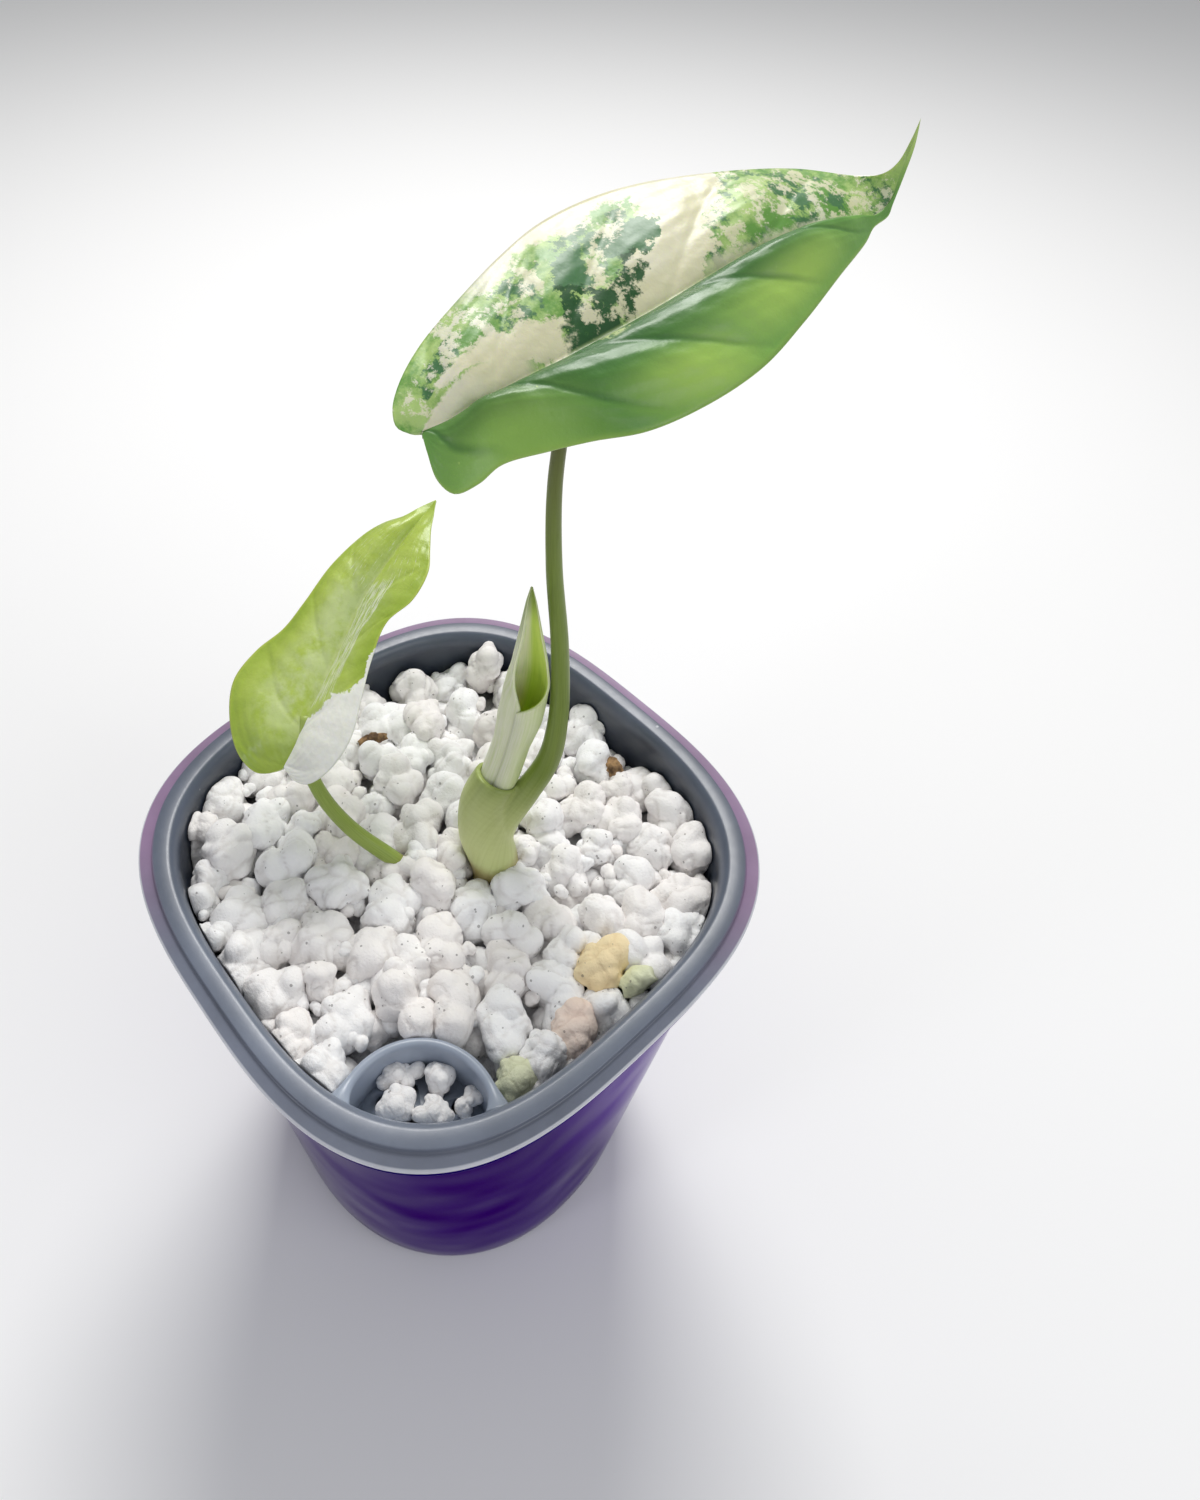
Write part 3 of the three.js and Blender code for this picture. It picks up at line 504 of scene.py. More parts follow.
# %% [markdown]
# The outer pot is one moulded shell, so it is lofted through square rings whose corners grow rounder
# towards the base. Its lip stands out a few millimetres and carries the basket's flange. Small steps
# in the profile give the edges the tiny radius that catches a highlight.
# %% Outer pot
POT_HEIGHT = 98
POT_BASE_HALF, POT_TOP_HALF, POT_RIM_HALF = 37.6, 47.5, 50.5
POT_WALL, POT_FLOOR = 1.1, 2.6
POWER_BASE, POWER_TOP = 2.12, 2.97
BODY_TOP = 96
BASE_ROUND, LIP_ROUND, RIM_ROUND = 3, 0.7, 0.6
LIP_UNDER_Z = 95.7


def pot_half(z):
    return POT_BASE_HALF + (POT_TOP_HALF - POT_BASE_HALF) * z / BODY_TOP


def power(z):
    return POWER_BASE + (POWER_TOP - POWER_BASE) * min(max(z / BODY_TOP, 0), 1)


def corner_arc(middle_half, middle_z, radius, start, end, steps=5):
    """A rounded edge in the profile: [half, z] points on an arc, with angles in degrees."""
    angles = np.radians(np.linspace(start, end, steps))
    return [(middle_half + radius * np.cos(a), middle_z + radius * np.sin(a)) for a in angles]


def build_outer_pot():
    outside = corner_arc(pot_half(0) - BASE_ROUND, BASE_ROUND, BASE_ROUND, -90, -6, 7)
    outside += [(pot_half(z), z) for z in np.linspace(2 * BASE_ROUND, 94.6, 16)]
    lip = corner_arc(POT_TOP_HALF + 0.9, LIP_UNDER_Z - LIP_ROUND, LIP_ROUND, 180, 90, 3)
    lip += corner_arc(POT_RIM_HALF - LIP_ROUND, LIP_UNDER_Z + LIP_ROUND, LIP_ROUND, -90, 0)
    lip += corner_arc(POT_RIM_HALF - RIM_ROUND, POT_HEIGHT - RIM_ROUND, RIM_ROUND, 0, 90)
    inner_top = POT_TOP_HALF - POT_WALL
    inside = corner_arc(inner_top + RIM_ROUND, POT_HEIGHT - RIM_ROUND, RIM_ROUND, 90, 180)
    inside += [(pot_half(z) - POT_WALL, z) for z in np.linspace(90, 2 * BASE_ROUND, 8)]
    inside += [(pot_half(0) - 3.4, POT_FLOOR)]
    rings = [square_ring(half, power(z), z) for half, z in outside + lip + inside]
    return lofted("violet_pot", rings)


violet_pot = build_outer_pot()
print("violet pot faces:", len(violet_pot.data.polygons))

# %% [markdown]
# The plastic is deep violet with a hard, metallic gloss. The camera sees the wall at a glancing
# angle, where a plain gloss would turn white, so the reflection is tinted at its edge as well as
# from straight on. Faint waves bend its highlights, as moulded plastic does. Faint darker bands
# are painted into its colour as painted reflections of darker surroundings.
# %% Violet plastic
def violet_plastic():
    made, tree, shader = new_material("violet plastic", Metallic=1.0, Specular_Tint=(0.3, 0.2, 0.52, 1))
    place = object_place(tree)
    mottle, specks, fine = surface(tree, 60, 0.05)
    x, y, z = parts_of(place)
    # Faint darker bands, painted reflections of darker things round the pot.
    painted_reflection_bands = span(noise(point(tree, x, y, z * 0.35), 18, 0, 0.4), 0.3, 0.75)
    violet = layered(mix(span(mottle, 0.3, 0.75), rgb(80, 47, 136), rgb(96, 59, 158)), (
        (painted_reflection_bands * 0.3, rgb(34, 18, 70)),
        (specks * 0.25, rgb(190, 180, 215))))
    violet.feeds(shader, "Base Color")
    (fine * 0.06 + 0.08).feeds(shader, "Roughness")
    relief(shader, noise(place, 26, 2, 0.4), 2.2, 0.7)
    return made


dress(violet_pot, violet_plastic())
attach(violet_pot, "root")
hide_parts("outer_pot")

# %% [markdown]
# The basket is thin frosted plastic. Its flange has a low outer lip, a crisp step and a flat land,
# and it rolls over softly into the wall. The shell is lofted like the pot; slots are then cut in
# its floor, and a wicking foot reaches down to the water.
# %% Basket shell and foot
FLANGE_HALF, FLANGE_TOP = 51, 100.4
FLANGE_UNDER, FLANGE_EDGE_ROUND = 98.3, 0.35
STEP_HALF, STEP_ROUND = 48.7, 0.25
LAND_INNER_HALF, ROLL_END_Z = 46.4, 96.6
BASKET_FLOOR_Z, BASKET_FLOOR, BASKET_WALL = 24, 1.8, 0.9
BASKET_INNER_TOP, BASKET_INNER_BASE, BASKET_STRAIGHT_TOP = 44.4, 37.4, 94.5
FOOT_TOP_RADIUS, FOOT_BASE_RADIUS, FOOT_WALL, FOOT_BASE_Z = 15, 12.5, 1.5, 2.9


def basket_inner(z):
    share = (z - BASKET_FLOOR_Z) / (BASKET_STRAIGHT_TOP - BASKET_FLOOR_Z)
    return BASKET_INNER_BASE + (BASKET_INNER_TOP - BASKET_INNER_BASE) * share


def basket_profile():
    outside = [(BASKET_INNER_BASE - 2, BASKET_FLOOR_Z), (BASKET_INNER_BASE + BASKET_WALL, 27)]
    outer_top = BASKET_INNER_TOP + BASKET_WALL
    outside += [(BASKET_INNER_BASE + BASKET_WALL + (outer_top - BASKET_INNER_BASE - BASKET_WALL) * s, z)
                for s, z in zip(np.linspace(0.15, 0.97, 8), np.linspace(38, 96, 8))]
    outside += [(outer_top, FLANGE_UNDER), (FLANGE_HALF - 1, FLANGE_UNDER)]
    edge = FLANGE_EDGE_ROUND
    lip = corner_arc(FLANGE_HALF - edge, FLANGE_UNDER + edge, edge, -90, 0, 4)
    lip += corner_arc(FLANGE_HALF - 0.4, FLANGE_UNDER + 0.8, 0.4, 0, 90, 5)
    lip += [(STEP_HALF + 0.25, FLANGE_UNDER + 1.22), (STEP_HALF + 0.02, FLANGE_UNDER + 1.3)]
    lip += corner_arc(STEP_HALF - STEP_ROUND, FLANGE_TOP - STEP_ROUND, STEP_ROUND, 0, 90, 4)
    drop = FLANGE_TOP - ROLL_END_Z
    run = LAND_INNER_HALF - BASKET_INNER_TOP - 0.05
    roll = [(LAND_INNER_HALF - run * np.sin(a), FLANGE_TOP - drop * (1 - np.cos(a)))
            for a in np.linspace(0, np.pi / 2, 10)]
    wall = [(basket_inner(z), z) for z in np.linspace(BASKET_STRAIGHT_TOP, 30, 8)]
    return outside + lip + roll + wall + [(BASKET_INNER_BASE - 2.4, BASKET_FLOOR_Z + BASKET_FLOOR)]


def disc_ring(radius, z, sides=48, middle=(0, 0)):
    angle = 2 * np.pi * np.arange(sides) / sides
    x, y = middle[0] + radius * np.cos(angle), middle[1] + radius * np.sin(angle)
    return np.stack([x, y, np.full(sides, float(z))], axis=-1)


def box_solid(size, centre, turn_degrees):
    """A box that is then turned round the upright axis through the middle of the pot."""
    signs = [(-1, -1), (1, -1), (1, 1), (-1, 1)]
    angle = math.radians(turn_degrees)
    c, s = math.cos(angle), math.sin(angle)
    rings = []
    for up in (-1, 1):
        ring = []
        for right, away in signs:
            x = centre[0] + right * size[0] / 2
            y = centre[1] + away * size[1] / 2
            ring.append((x * c - y * s, x * s + y * c, centre[2] + up * size[2] / 2))
        rings.append(np.array(ring))
    return loft(rings)


def build_shell():
    rings = [square_ring(half, power(z), z) for half, z in basket_profile()]
    slots = [box_solid((11, 2, 8), (24, 0, BASKET_FLOOR_Z), 60 * i + 15) for i in range(6)]
    return cut(lofted("basket_shell", rings), slots)


def build_foot():
    profile = [(FOOT_BASE_RADIUS, FOOT_BASE_Z), (FOOT_TOP_RADIUS, BASKET_FLOOR_Z + 0.5)]
    profile += [(FOOT_TOP_RADIUS - FOOT_WALL, BASKET_FLOOR_Z + 0.5)]
    profile += [(FOOT_BASE_RADIUS - FOOT_WALL, FOOT_BASE_Z + FOOT_WALL)]
    foot = lofted("basket_foot", [disc_ring(radius, z) for radius, z in profile])
    return cut(foot, [box_solid((8, 2.4, 11), (FOOT_BASE_RADIUS, 0, 12), 90 * i) for i in range(4)])


basket_shell = build_shell()
basket_foot = build_foot()
print("shell faces:", len(basket_shell.data.polygons), "foot faces:", len(basket_foot.data.polygons))

# %% [markdown]
# Water is poured into a half-round well in one corner. Its wall is an arc with a rounded top that
# thickens where it runs into the flange, and a low floor with drain holes. The arc is swept by
# moving one cross-section round the well's centre, and each end is sunk into the basket's wall.
# %% Fill port
PORT_X, PORT_Y = 35.6, -34.8
PORT_OUTER, PORT_INNER, PORT_FLOOR_INNER = 13.4, 11.9, 11.4
PORT_FLOOR_Z, PORT_FLOOR, PORT_WALL_TOP = 89.7, 1.7, 97.2
DRAIN_RADIUS = 1.4
WALL_END_SHARE, WALL_END_SWELL, WALL_END_LIFT = 0.28, 1.3, 1.2
DRAINS = [(8.6, 182), (8.6, 152), (8.6, 122), (8.6, 92), (4, 160), (4, 110)]


def from_port(distance, turn):
    """A place at a distance from the port's middle, in a direction."""
    return PORT_X + distance * np.cos(turn), PORT_Y + distance * np.sin(turn)


def port_arc_angles():
    """The angles at which the arc meets the basket's wall, in degrees."""
    angles = np.arange(60, 215, 0.25)
    x, y = from_port(PORT_INNER, np.radians(angles))
    inside = square_reach(x, y, POWER_TOP) < BASKET_INNER_TOP + 0.5
    return angles[inside].min(), angles[inside].max()


def build_port_wall():
    first, last = port_arc_angles()
    middle = (PORT_OUTER + PORT_INNER) / 2
    half = (PORT_OUTER - PORT_INNER) / 2 + 0.1
    arc = np.radians(np.linspace(0, 180, 13))
    rings = []
    for share in np.linspace(0, 1, 70):
        turn = math.radians(first - 2 + (last - first + 4) * share)
        near_end = max(0, abs(share - 0.5) * 2 - 1 + WALL_END_SHARE) / WALL_END_SHARE
        wide = half + WALL_END_SWELL * near_end ** 2
        round_z = PORT_WALL_TOP + WALL_END_LIFT * near_end ** 2 - half
        profile = [(middle + wide, PORT_FLOOR_Z - 3)]
        profile += [(middle + wide * math.cos(a), round_z + half * math.sin(a)) for a in arc]
        profile += [(PORT_FLOOR_INNER - 0.1, PORT_FLOOR_Z - 1.2), (PORT_FLOOR_INNER - 0.1, PORT_FLOOR_Z - 3)]
        rings.append(np.array([(*from_port(reach, turn), z) for reach, z in profile]))
    return lofted("port_wall", rings)


def build_port_floor():
    first, last = port_arc_angles()
    turn = np.radians(np.linspace(first - 1, last + 1, 60))
    reach = PORT_FLOOR_INNER + 0.3
    arc = [from_port(reach, a) for a in turn]
    wall_first = math.atan2(arc[-1][1], arc[-1][0])
    wall_last = math.atan2(arc[0][1], arc[0][0])
    wall = []
    for angle in np.linspace(wall_first, wall_last, 40)[1:-1]:
        x, y = math.cos(angle), math.sin(angle)
        far = (BASKET_INNER_TOP + 0.2) / square_reach(x, y, POWER_TOP)
        wall.append((far * x, far * y))
    outline = np.array(arc + wall)
    low = np.column_stack([outline, np.full(len(outline), PORT_FLOOR_Z - PORT_FLOOR)])
    high = np.column_stack([outline, np.full(len(outline), PORT_FLOOR_Z)])
    holes = []
    for distance, angle in DRAINS:
        middle = from_port(distance, math.radians(angle))
        heights = (PORT_FLOOR_Z - 4, PORT_FLOOR_Z + 1)
        holes.append(loft([disc_ring(DRAIN_RADIUS, z, 24, middle) for z in heights]))
    return cut(lofted("port_floor", [low, high]), holes)


port_wall = build_port_wall()
port_floor = build_port_floor()
print("port wall and floor faces:", len(port_wall.data.polygons), len(port_floor.data.polygons))

# %% [markdown]
# The frosted plastic lets some violet through where the pot's rim lies close below it, so the outer
# lip is painted lilac and the wall slate. The distance from the pot's middle, measured the way its
# square rings are, picks the band. Towards the port the lip is painted greyer and the land lighter,
# as a painted reflection. The colour is painted darker down the wall, as painted shade where less
# light comes through, and the port is painted paler, as painted light coming through its thin wall
# and floor. A painted highlight lines the flange's outer edge. White perlite dust collects at the step.
# %% Frosted plastic
def square_distance(x, y):
    """Distance from the middle measured along the flange's rounded square, in metres."""
    total = maths("POWER", abs(x), POWER_TOP) + maths("POWER", abs(y), POWER_TOP)
    return maths("POWER", total, 1 / POWER_TOP)


def frosted_plastic():
    made, tree, shader = new_material(
        "frosted plastic", IOR=1.49, Coat_Weight=0.35, Coat_Roughness=0.25,
        Subsurface_Weight=0.12, Subsurface_Radius=(0.6, 0.6, 0.8), Subsurface_Scale=0.002,
    )
    place = object_place(tree)
    mottle, specks, fine = surface(tree, 70, 0.12)
    x, y, height = parts_of(place)
    half = square_distance(x, y)
    to_port = (x - y) * 0.71
    # Towards the port the land is painted lighter and the outer lip greyer: a painted reflection.
    land_with_painted_reflection = mix(span(to_port, 0.0, 0.045), rgb(84, 92, 108), rgb(116, 124, 140))
    lip = mix(span(to_port, 0.004, 0.03), rgb(142, 116, 148), rgb(112, 118, 134))
    on_top = span(height, (FLANGE_UNDER - 1.5) * MM, FLANGE_UNDER * MM)
    over_rim = span(half, (STEP_HALF - 0.35) * MM, (STEP_HALF + 0.15) * MM)
    # The port's thin wall and floor are painted paler, as painted light that comes through them.
    middle = (PORT_X * MM, PORT_Y * MM, 0.095)
    away = node(tree, "ShaderNodeVectorMath", {0: place, 1: middle}, "Value", operation="DISTANCE")
    port_painted_glow = falling(away, 0.0142, 0.0152) * falling(half, 0.0445, 0.0455)
    # Below the land the wall keeps a dark slate, painted shade where less light comes through.
    colour = layered(rgb(46, 54, 68), (
        (span(height, (FLANGE_TOP - 3.6) * MM, (FLANGE_TOP - 0.6) * MM), land_with_painted_reflection),
        (over_rim * on_top, lip),
        # A thin painted highlight along the flange's outer edge.
        (span(half, (FLANGE_HALF - 0.4) * MM, (FLANGE_HALF - 0.1) * MM), rgb(206, 208, 216)),
        (port_painted_glow, rgb(158, 168, 184))))
    shade = span(mottle, 0.25, 0.8, 0.86, 1.1)
    colour = shaded(colour, point(tree, shade, shade, shade))
    near_step = 1.0 - span(abs(half - STEP_HALF * MM), 0.3 * MM, 1.1 * MM)
    mix(specks * (near_step * 0.8 + 0.25), colour, rgb(225, 226, 232)).feeds(shader, "Base Color")
    (fine * 0.2 + 0.28).feeds(shader, "Roughness")
    relief(shader, fine, 0.05, 0.5)
    return made


basket_material = frosted_plastic()
frosted_pieces = (basket_shell, basket_foot, port_wall, port_floor)
for piece in frosted_pieces:
    dress(piece, basket_material)
    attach(piece, "root")
    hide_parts("inner_basket")
print("frosted pieces:", len(frosted_pieces))

# %% [markdown]
# Perlite is volcanic glass that has puffed up in a furnace, so each grain is a clump of rounded
# bubbles with soft creases between them. A grain is made by asking how far it reaches in each
# direction: overlapping balls give the reach, smaller lobes sunk in them puff it up, and slow waves
# make it uneven and crease it. Displacing a sphere this way keeps one closed skin.
# %% Grain shapes
UNEVEN, UNEVEN_PITCH = 0.045, 4.4
FINE, FINE_PITCH = 0.01, 13
CREASE_DEPTH, CREASE_PITCH, CREASE_WIDTH = 0.075, 3.6, 0.12
REACH_LIMIT = 1.14
BODY_SHARE, LOBE_SUNK, LOBE_SIZES = 0.86, 0.4, (0.26, 0.5)


def cube_sphere(cells):
    """Directions and quads of a sphere made from a cube with cells by cells squares a side."""
    steps = np.tan(np.linspace(-np.pi / 4, np.pi / 4, cells + 1))
    a, b = np.meshgrid(steps, steps, indexing="ij")
    one = np.ones_like(a)
    sides = [(one, a, b), (-one, b, a), (b, one, a), (a, -one, b), (a, b, one), (b, a, -one)]
    points = np.vstack([np.stack([s.ravel() for s in side], axis=-1) for side in sides])
    points /= np.linalg.norm(points, axis=1)[:, None]
    keys = np.round(points * 1e5).astype(np.int64)
    _, first, same = np.unique(keys, axis=0, return_index=True, return_inverse=True)
    same = same.ravel()
    row = np.arange(cells)
    i, j = np.meshgrid(row, row, indexing="ij")
    corner = (i * (cells + 1) + j).ravel()
    quads = np.stack([corner, corner + cells + 1, corner + cells + 2, corner + 1], axis=-1)
    size = (cells + 1) ** 2
    return points[first], same[np.vstack([quads + side * size for side in range(6)])]


SPHERES = {cells: cube_sphere(cells) for cells in (5, 7, 16, 20)}


def waves(directions, seed, pitch, count=12):
    """A smooth random wave over a sphere, about -1 to 1; a higher pitch gives smaller lumps."""
    random = np.random.default_rng(seed)
    total = np.zeros(len(directions))
    for _ in range(count):
        axis = random.normal(size=3)
        axis *= pitch * random.uniform(0.7, 1.3) / np.linalg.norm(axis)
        total += np.sin(directions @ axis + random.uniform(0, 2 * np.pi))
    return total / math.sqrt(count / 2)


def roughened(points, body, lump, seed, pitch, limit=np.inf):
    """Moves each point in or out by a wave over its direction from the middle."""
    middle = points.mean(axis=0)
    outward = points - middle
    lumps = waves(outward / np.linalg.norm(outward, axis=1)[:, None], seed, pitch)
    return middle + outward * np.minimum(limit, body + lump * lumps)[:, None]


def ball_reach(directions, balls, sharpness=32):
    """How far melted balls reach from their common middle, in each direction."""
    total = np.zeros(len(directions))
    for centre, radius in balls:
        centre = np.asarray(centre, float)
        along = directions @ centre
        depth = along * along - centre @ centre + radius * radius
        reach = np.where(depth > 0, along + np.sqrt(np.maximum(depth, 0)), 0.2 * radius)
        total += np.maximum(reach, 0.05) ** sharpness
    return total ** (1 / sharpness)


def grain(centre, size, balls, seed, cells, rough=1.0):
    """Points and quads of one puffed grain, and a share of painted shade for each point, in its creases and
    on its underside.
    """
    directions, quads = SPHERES[cells]
    reach = ball_reach(directions, balls)
    slow = UNEVEN * waves(directions, seed, UNEVEN_PITCH)
    reach *= 1 + rough * (slow + FINE * waves(directions, seed + 1, FINE_PITCH))
    # The skin is creased where two slow waves change sign.
    crease = np.zeros(len(directions))
    for number in (2, 3):
        wave = waves(directions, seed + number, CREASE_PITCH)
        crease = np.maximum(crease, np.exp(-(wave / CREASE_WIDTH) ** 2))
    reach *= 1 - CREASE_DEPTH * rough * crease
    # Lobes must not push the grain past the size that its plan gives.
    reach = np.minimum(reach, REACH_LIMIT * size)
    # The share of painted shade: half the crease, and more towards the underside.
    crease = np.maximum(0.5 * crease, smooth(0, 0.8, -directions[:, 2]))
    return np.asarray(centre) + directions * reach[:, None], quads, crease


def direction_from(draw):
    angle = 2 * math.pi * draw()
    height = 2 * draw() - 1
    flat = math.sqrt(1 - height * height)
    return np.array([flat * math.cos(angle), flat * math.sin(angle), height])


def random_balls(draw, size):
    """Four balls for the body, as in the solid model."""
    axis = direction_from(draw)
    axis[2] *= 0.5
    axis /= np.linalg.norm(axis)
    reach = 0.15 + 0.35 * draw()
    balls = [(axis * reach * size, size * (0.6 + 0.1 * draw()))]
    balls.append((-axis * reach * size, size * (0.6 + 0.1 * draw())))
    for _ in range(2):
        direction = direction_from(draw)
        offset = 0.3 + 0.2 * draw()
        balls.append((direction * offset * size, size * (0.52 + 0.12 * draw())))
    return balls


def lobes(balls, size, seed, count=5):
    """The body of a grain, a little thinner, with puffed lobes sunk in it past their middles."""
    random = np.random.default_rng(seed)
    body = [(middle, BODY_SHARE * radius) for middle, radius in balls]
    added = []
    for _ in range(count + random.integers(0, 4)):
        direction = random.normal(size=3)
        direction /= np.linalg.norm(direction)
        radius = size * random.uniform(*LOBE_SIZES)
        middle = ball_reach(direction[None], body)[0] - LOBE_SUNK * radius
        added.append((direction * middle, radius))
    return body + added


print("quads in a large grain:", len(SPHERES[16][1]))

# %% [markdown]
# The top layer follows the same seeded rule as the solid bed, so every grain stays where the model
# has it. Smaller grains fill the gaps a little lower down, as they would after the pot is tapped,
# and a closed core below them carries all of it. Each layer is its own piece to keep meshes light.
# %% Perlite bed
GRAIN_SMALL, GRAIN_LARGE, GRAIN_TRIES = 3.9, 6.5, 3600
GRAIN_SPACING, GRAIN_SUNK, GRAIN_UNEVEN = 0.59, 0.5, 2
STEM_FOOT, STEM_ROOM = (5.7, 5.6), 3
PLANNED_GRAIN = 4.4
BED_MIDDLE_Z, BED_SLOPE_X, BED_SLOPE_Y = 94.9, 0.01, -0.042
WALL_CLEAR, PORT_CLEAR = 0.3, PORT_OUTER + 0.35
SINGLES = {
    "grain_tan": (34.9, 6.4, 94.6),
    "grain_pink": (39.4, -4.8, 93.2),
    "grain_lime_near": (39, -17.5, 93),
}
STANDING_GRAIN = ((-30.8, 35.4, 95), 6, [
    (np.array([0, 0, 3]), 3), (np.array([0.2, -0.3, 0.4]), 2.9), (np.array([-0.4, -0.5, -2.2]), 3.8)])


def bed_height(x, y):
    return BED_MIDDLE_Z + BED_SLOPE_X * x + BED_SLOPE_Y * y


def rooms(x, y, z):
    """How far a point is from the wall, the port and the stem, in millimetres."""
    wall = basket_inner(z) - float(square_reach(np.float64(x), np.float64(y), POWER_TOP))
    port = math.hypot(x - PORT_X, y - PORT_Y) - PORT_OUTER
    stem = math.hypot(x - STEM_FOOT[0], y - STEM_FOOT[1]) - STEM_ROOM
    return wall, port, stem


def top_grains():
    """Spots are tried at random, large grains first, and kept where they don't crowd another."""
    draw = Draw(7)
    found = [STANDING_GRAIN]
    taken = [(place, PLANNED_GRAIN) for place in SINGLES.values()] + [STANDING_GRAIN[:2]]
    for attempt in range(GRAIN_TRIES):
        size = GRAIN_LARGE + (GRAIN_SMALL - GRAIN_LARGE) * attempt / GRAIN_TRIES
        x = 2 * BASKET_INNER_TOP * (draw() - 0.5)
        y = 2 * BASKET_INNER_TOP * (draw() - 0.5)
        z = bed_height(x, y) - GRAIN_SUNK * size
        wall, port, stem = rooms(x, y, z)
        if min(wall + 0.35 * size, port + 0.25 * size, stem) <= 0.6 * size:
            continue
        if any(math.hypot(place[0] - x, place[1] - y) < GRAIN_SPACING * (other + size)
               for place, other in taken):
            continue
        centre = (x, y, z + GRAIN_UNEVEN * (draw() - 0.5))
        found.append((centre, size, random_balls(draw, size)))
        taken.append((centre, size))
    return found


def beside_port(points):
    """Moves a grain that the port's wall would cut most of the way clear of it."""
    away = points[:, :2].mean(axis=0) - (PORT_X, PORT_Y)
    nearest = np.linalg.norm(points[:, :2] - (PORT_X, PORT_Y), axis=1).min()
    overlap = max(0, PORT_CLEAR - nearest)
    points[:, :2] += 0.8 * overlap * away / np.linalg.norm(away)
    return points


def push_inside(points):
    """Pulls points that pass the basket's wall, or the port's, back to just clear of it."""
    x, y, z = points[:, 0], points[:, 1], points[:, 2]
    reach = square_reach(x, y, POWER_TOP)
    # The wall rolls outwards near its top, so grains may lean out there.
    limit = basket_inner(np.minimum(z, BASKET_STRAIGHT_TOP)) - WALL_CLEAR + 1.3 * smooth(97.4, 100, z)
    share = np.minimum(1, limit / np.maximum(reach, 1e-6))
    points[:, 0] *= share
    points[:, 1] *= share
    away = points[:, :2] - (PORT_X, PORT_Y)
    distance = np.linalg.norm(away, axis=1)
    near = distance < PORT_CLEAR
    points[near, :2] = (PORT_X, PORT_Y) + away[near] * (PORT_CLEAR / distance[near])[:, None]
    return points


def grain_piece(name, grains, cells, node_names, rough=1.0, clip=True):
    """One piece from many grains, with a shade for each grain."""
    all_points, all_quads, shade, painted_shade_shares, start = [], [], [], [], 0
    random = np.random.default_rng(len(grains))
    for number, (centre, size, balls) in enumerate(grains):
        points, quads, crease = grain(centre, size, balls, 100 * number + 11, cells, rough)
        all_points.append(push_inside(beside_port(points)) if clip else points)
        all_quads.append(quads + start)
        shade.append(np.full(len(points), random.random()))
        painted_shade_shares.append(crease)
        start += len(points)
    values = {"shade": np.concatenate(shade), "crease": np.concatenate(painted_shade_shares)}
    piece = new_piece(name, np.vstack(all_points), np.vstack(all_quads).tolist(), values)
    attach(piece, "root")
    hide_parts(*node_names)
    return piece


bed_tops = [(place, size, lobes(balls, size, i)) for i, (place, size, balls) in enumerate(top_grains())]
# The bed is split in three from far to near, as the camera sees it.
nearness = [0.58 * place[0] - 0.51 * place[1] for place, _, _ in bed_tops]
order = np.argsort(nearness)
perlite_pieces = []
for name, share in zip(("perlite_far", "perlite_middle", "perlite_near"), np.array_split(order, 3)):
    chosen = [bed_tops[i] for i in share]
    perlite_pieces.append(grain_piece(name, chosen, 16, ["perlite_bed"]))
print("top grains:", len(bed_tops))

# %% [markdown]
# Between the large grains the eye sees smaller ones, and crumbs below those. Both layers lie on a
# jittered grid, which fills the bed more evenly than random tries. The core is a plain closed body
# under all of them, cut away round the port, so no light leaks through the bed.
# %% Perlite between the grains, and the core
def filler_grains(pitch, smallest, largest, depth, seed, wander=0.8):
    draw = Draw(seed)
    found = []
    count = math.ceil(BASKET_INNER_TOP / pitch)
    for row in range(-count, count + 1):
        for column in range(-count, count + 1):
            x = (column + wander * (draw() - 0.5)) * pitch
            y = (row + wander * (draw() - 0.5)) * pitch
            size = smallest + (largest - smallest) * draw()
            z = bed_height(x, y) - depth - size + 1.6 * (draw() - 0.5)
            wall, port, stem = rooms(x, y, z)
            if wall > 0.2 * size and port > 0.3 * size and stem > 0.4 * size:
                balls = random_balls(draw, size)
                found.append(((x, y, z), size, balls))
    return found


def build_core():
    low = BASKET_FLOOR_Z + BASKET_FLOOR + 0.3
    rings = [square_ring(BASKET_INNER_BASE - 2.7, POWER_BASE, low, 96)]
    rings.append(square_ring(basket_inner(low + 2.5) - 0.3, power(low + 2.5), low + 2.5, 96))
    rings.append(square_ring(basket_inner(87) - 0.5, power(82), 87, 96))
    port = loft([disc_ring(PORT_OUTER + 0.3, z, 64, (PORT_X, PORT_Y)) for z in (0, 110)])
    core = cut(lofted("perlite_core", rings), [port])
    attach(core, "root")
    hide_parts("perlite_bed")
    return core


under = filler_grains(pitch=6.0, smallest=3.0, largest=4.2, depth=2.6, seed=23)
crumbs = filler_grains(pitch=4.6, smallest=1.5, largest=2.5, depth=1.3, seed=51, wander=0.95)
# One more hides where the small stalk goes down into the bed.
under.append(((-2.6, -6.4, 93.6), 3.1, random_balls(Draw(3), 3.1)))
perlite_pieces.append(grain_piece("perlite_under", under, 7, ["perlite_bed"]))
perlite_pieces.append(grain_piece("perlite_crumbs", crumbs, 5, ["perlite_bed"]))
perlite_pieces.append(build_core())
print("under:", len(under), "crumbs:", len(crumbs))

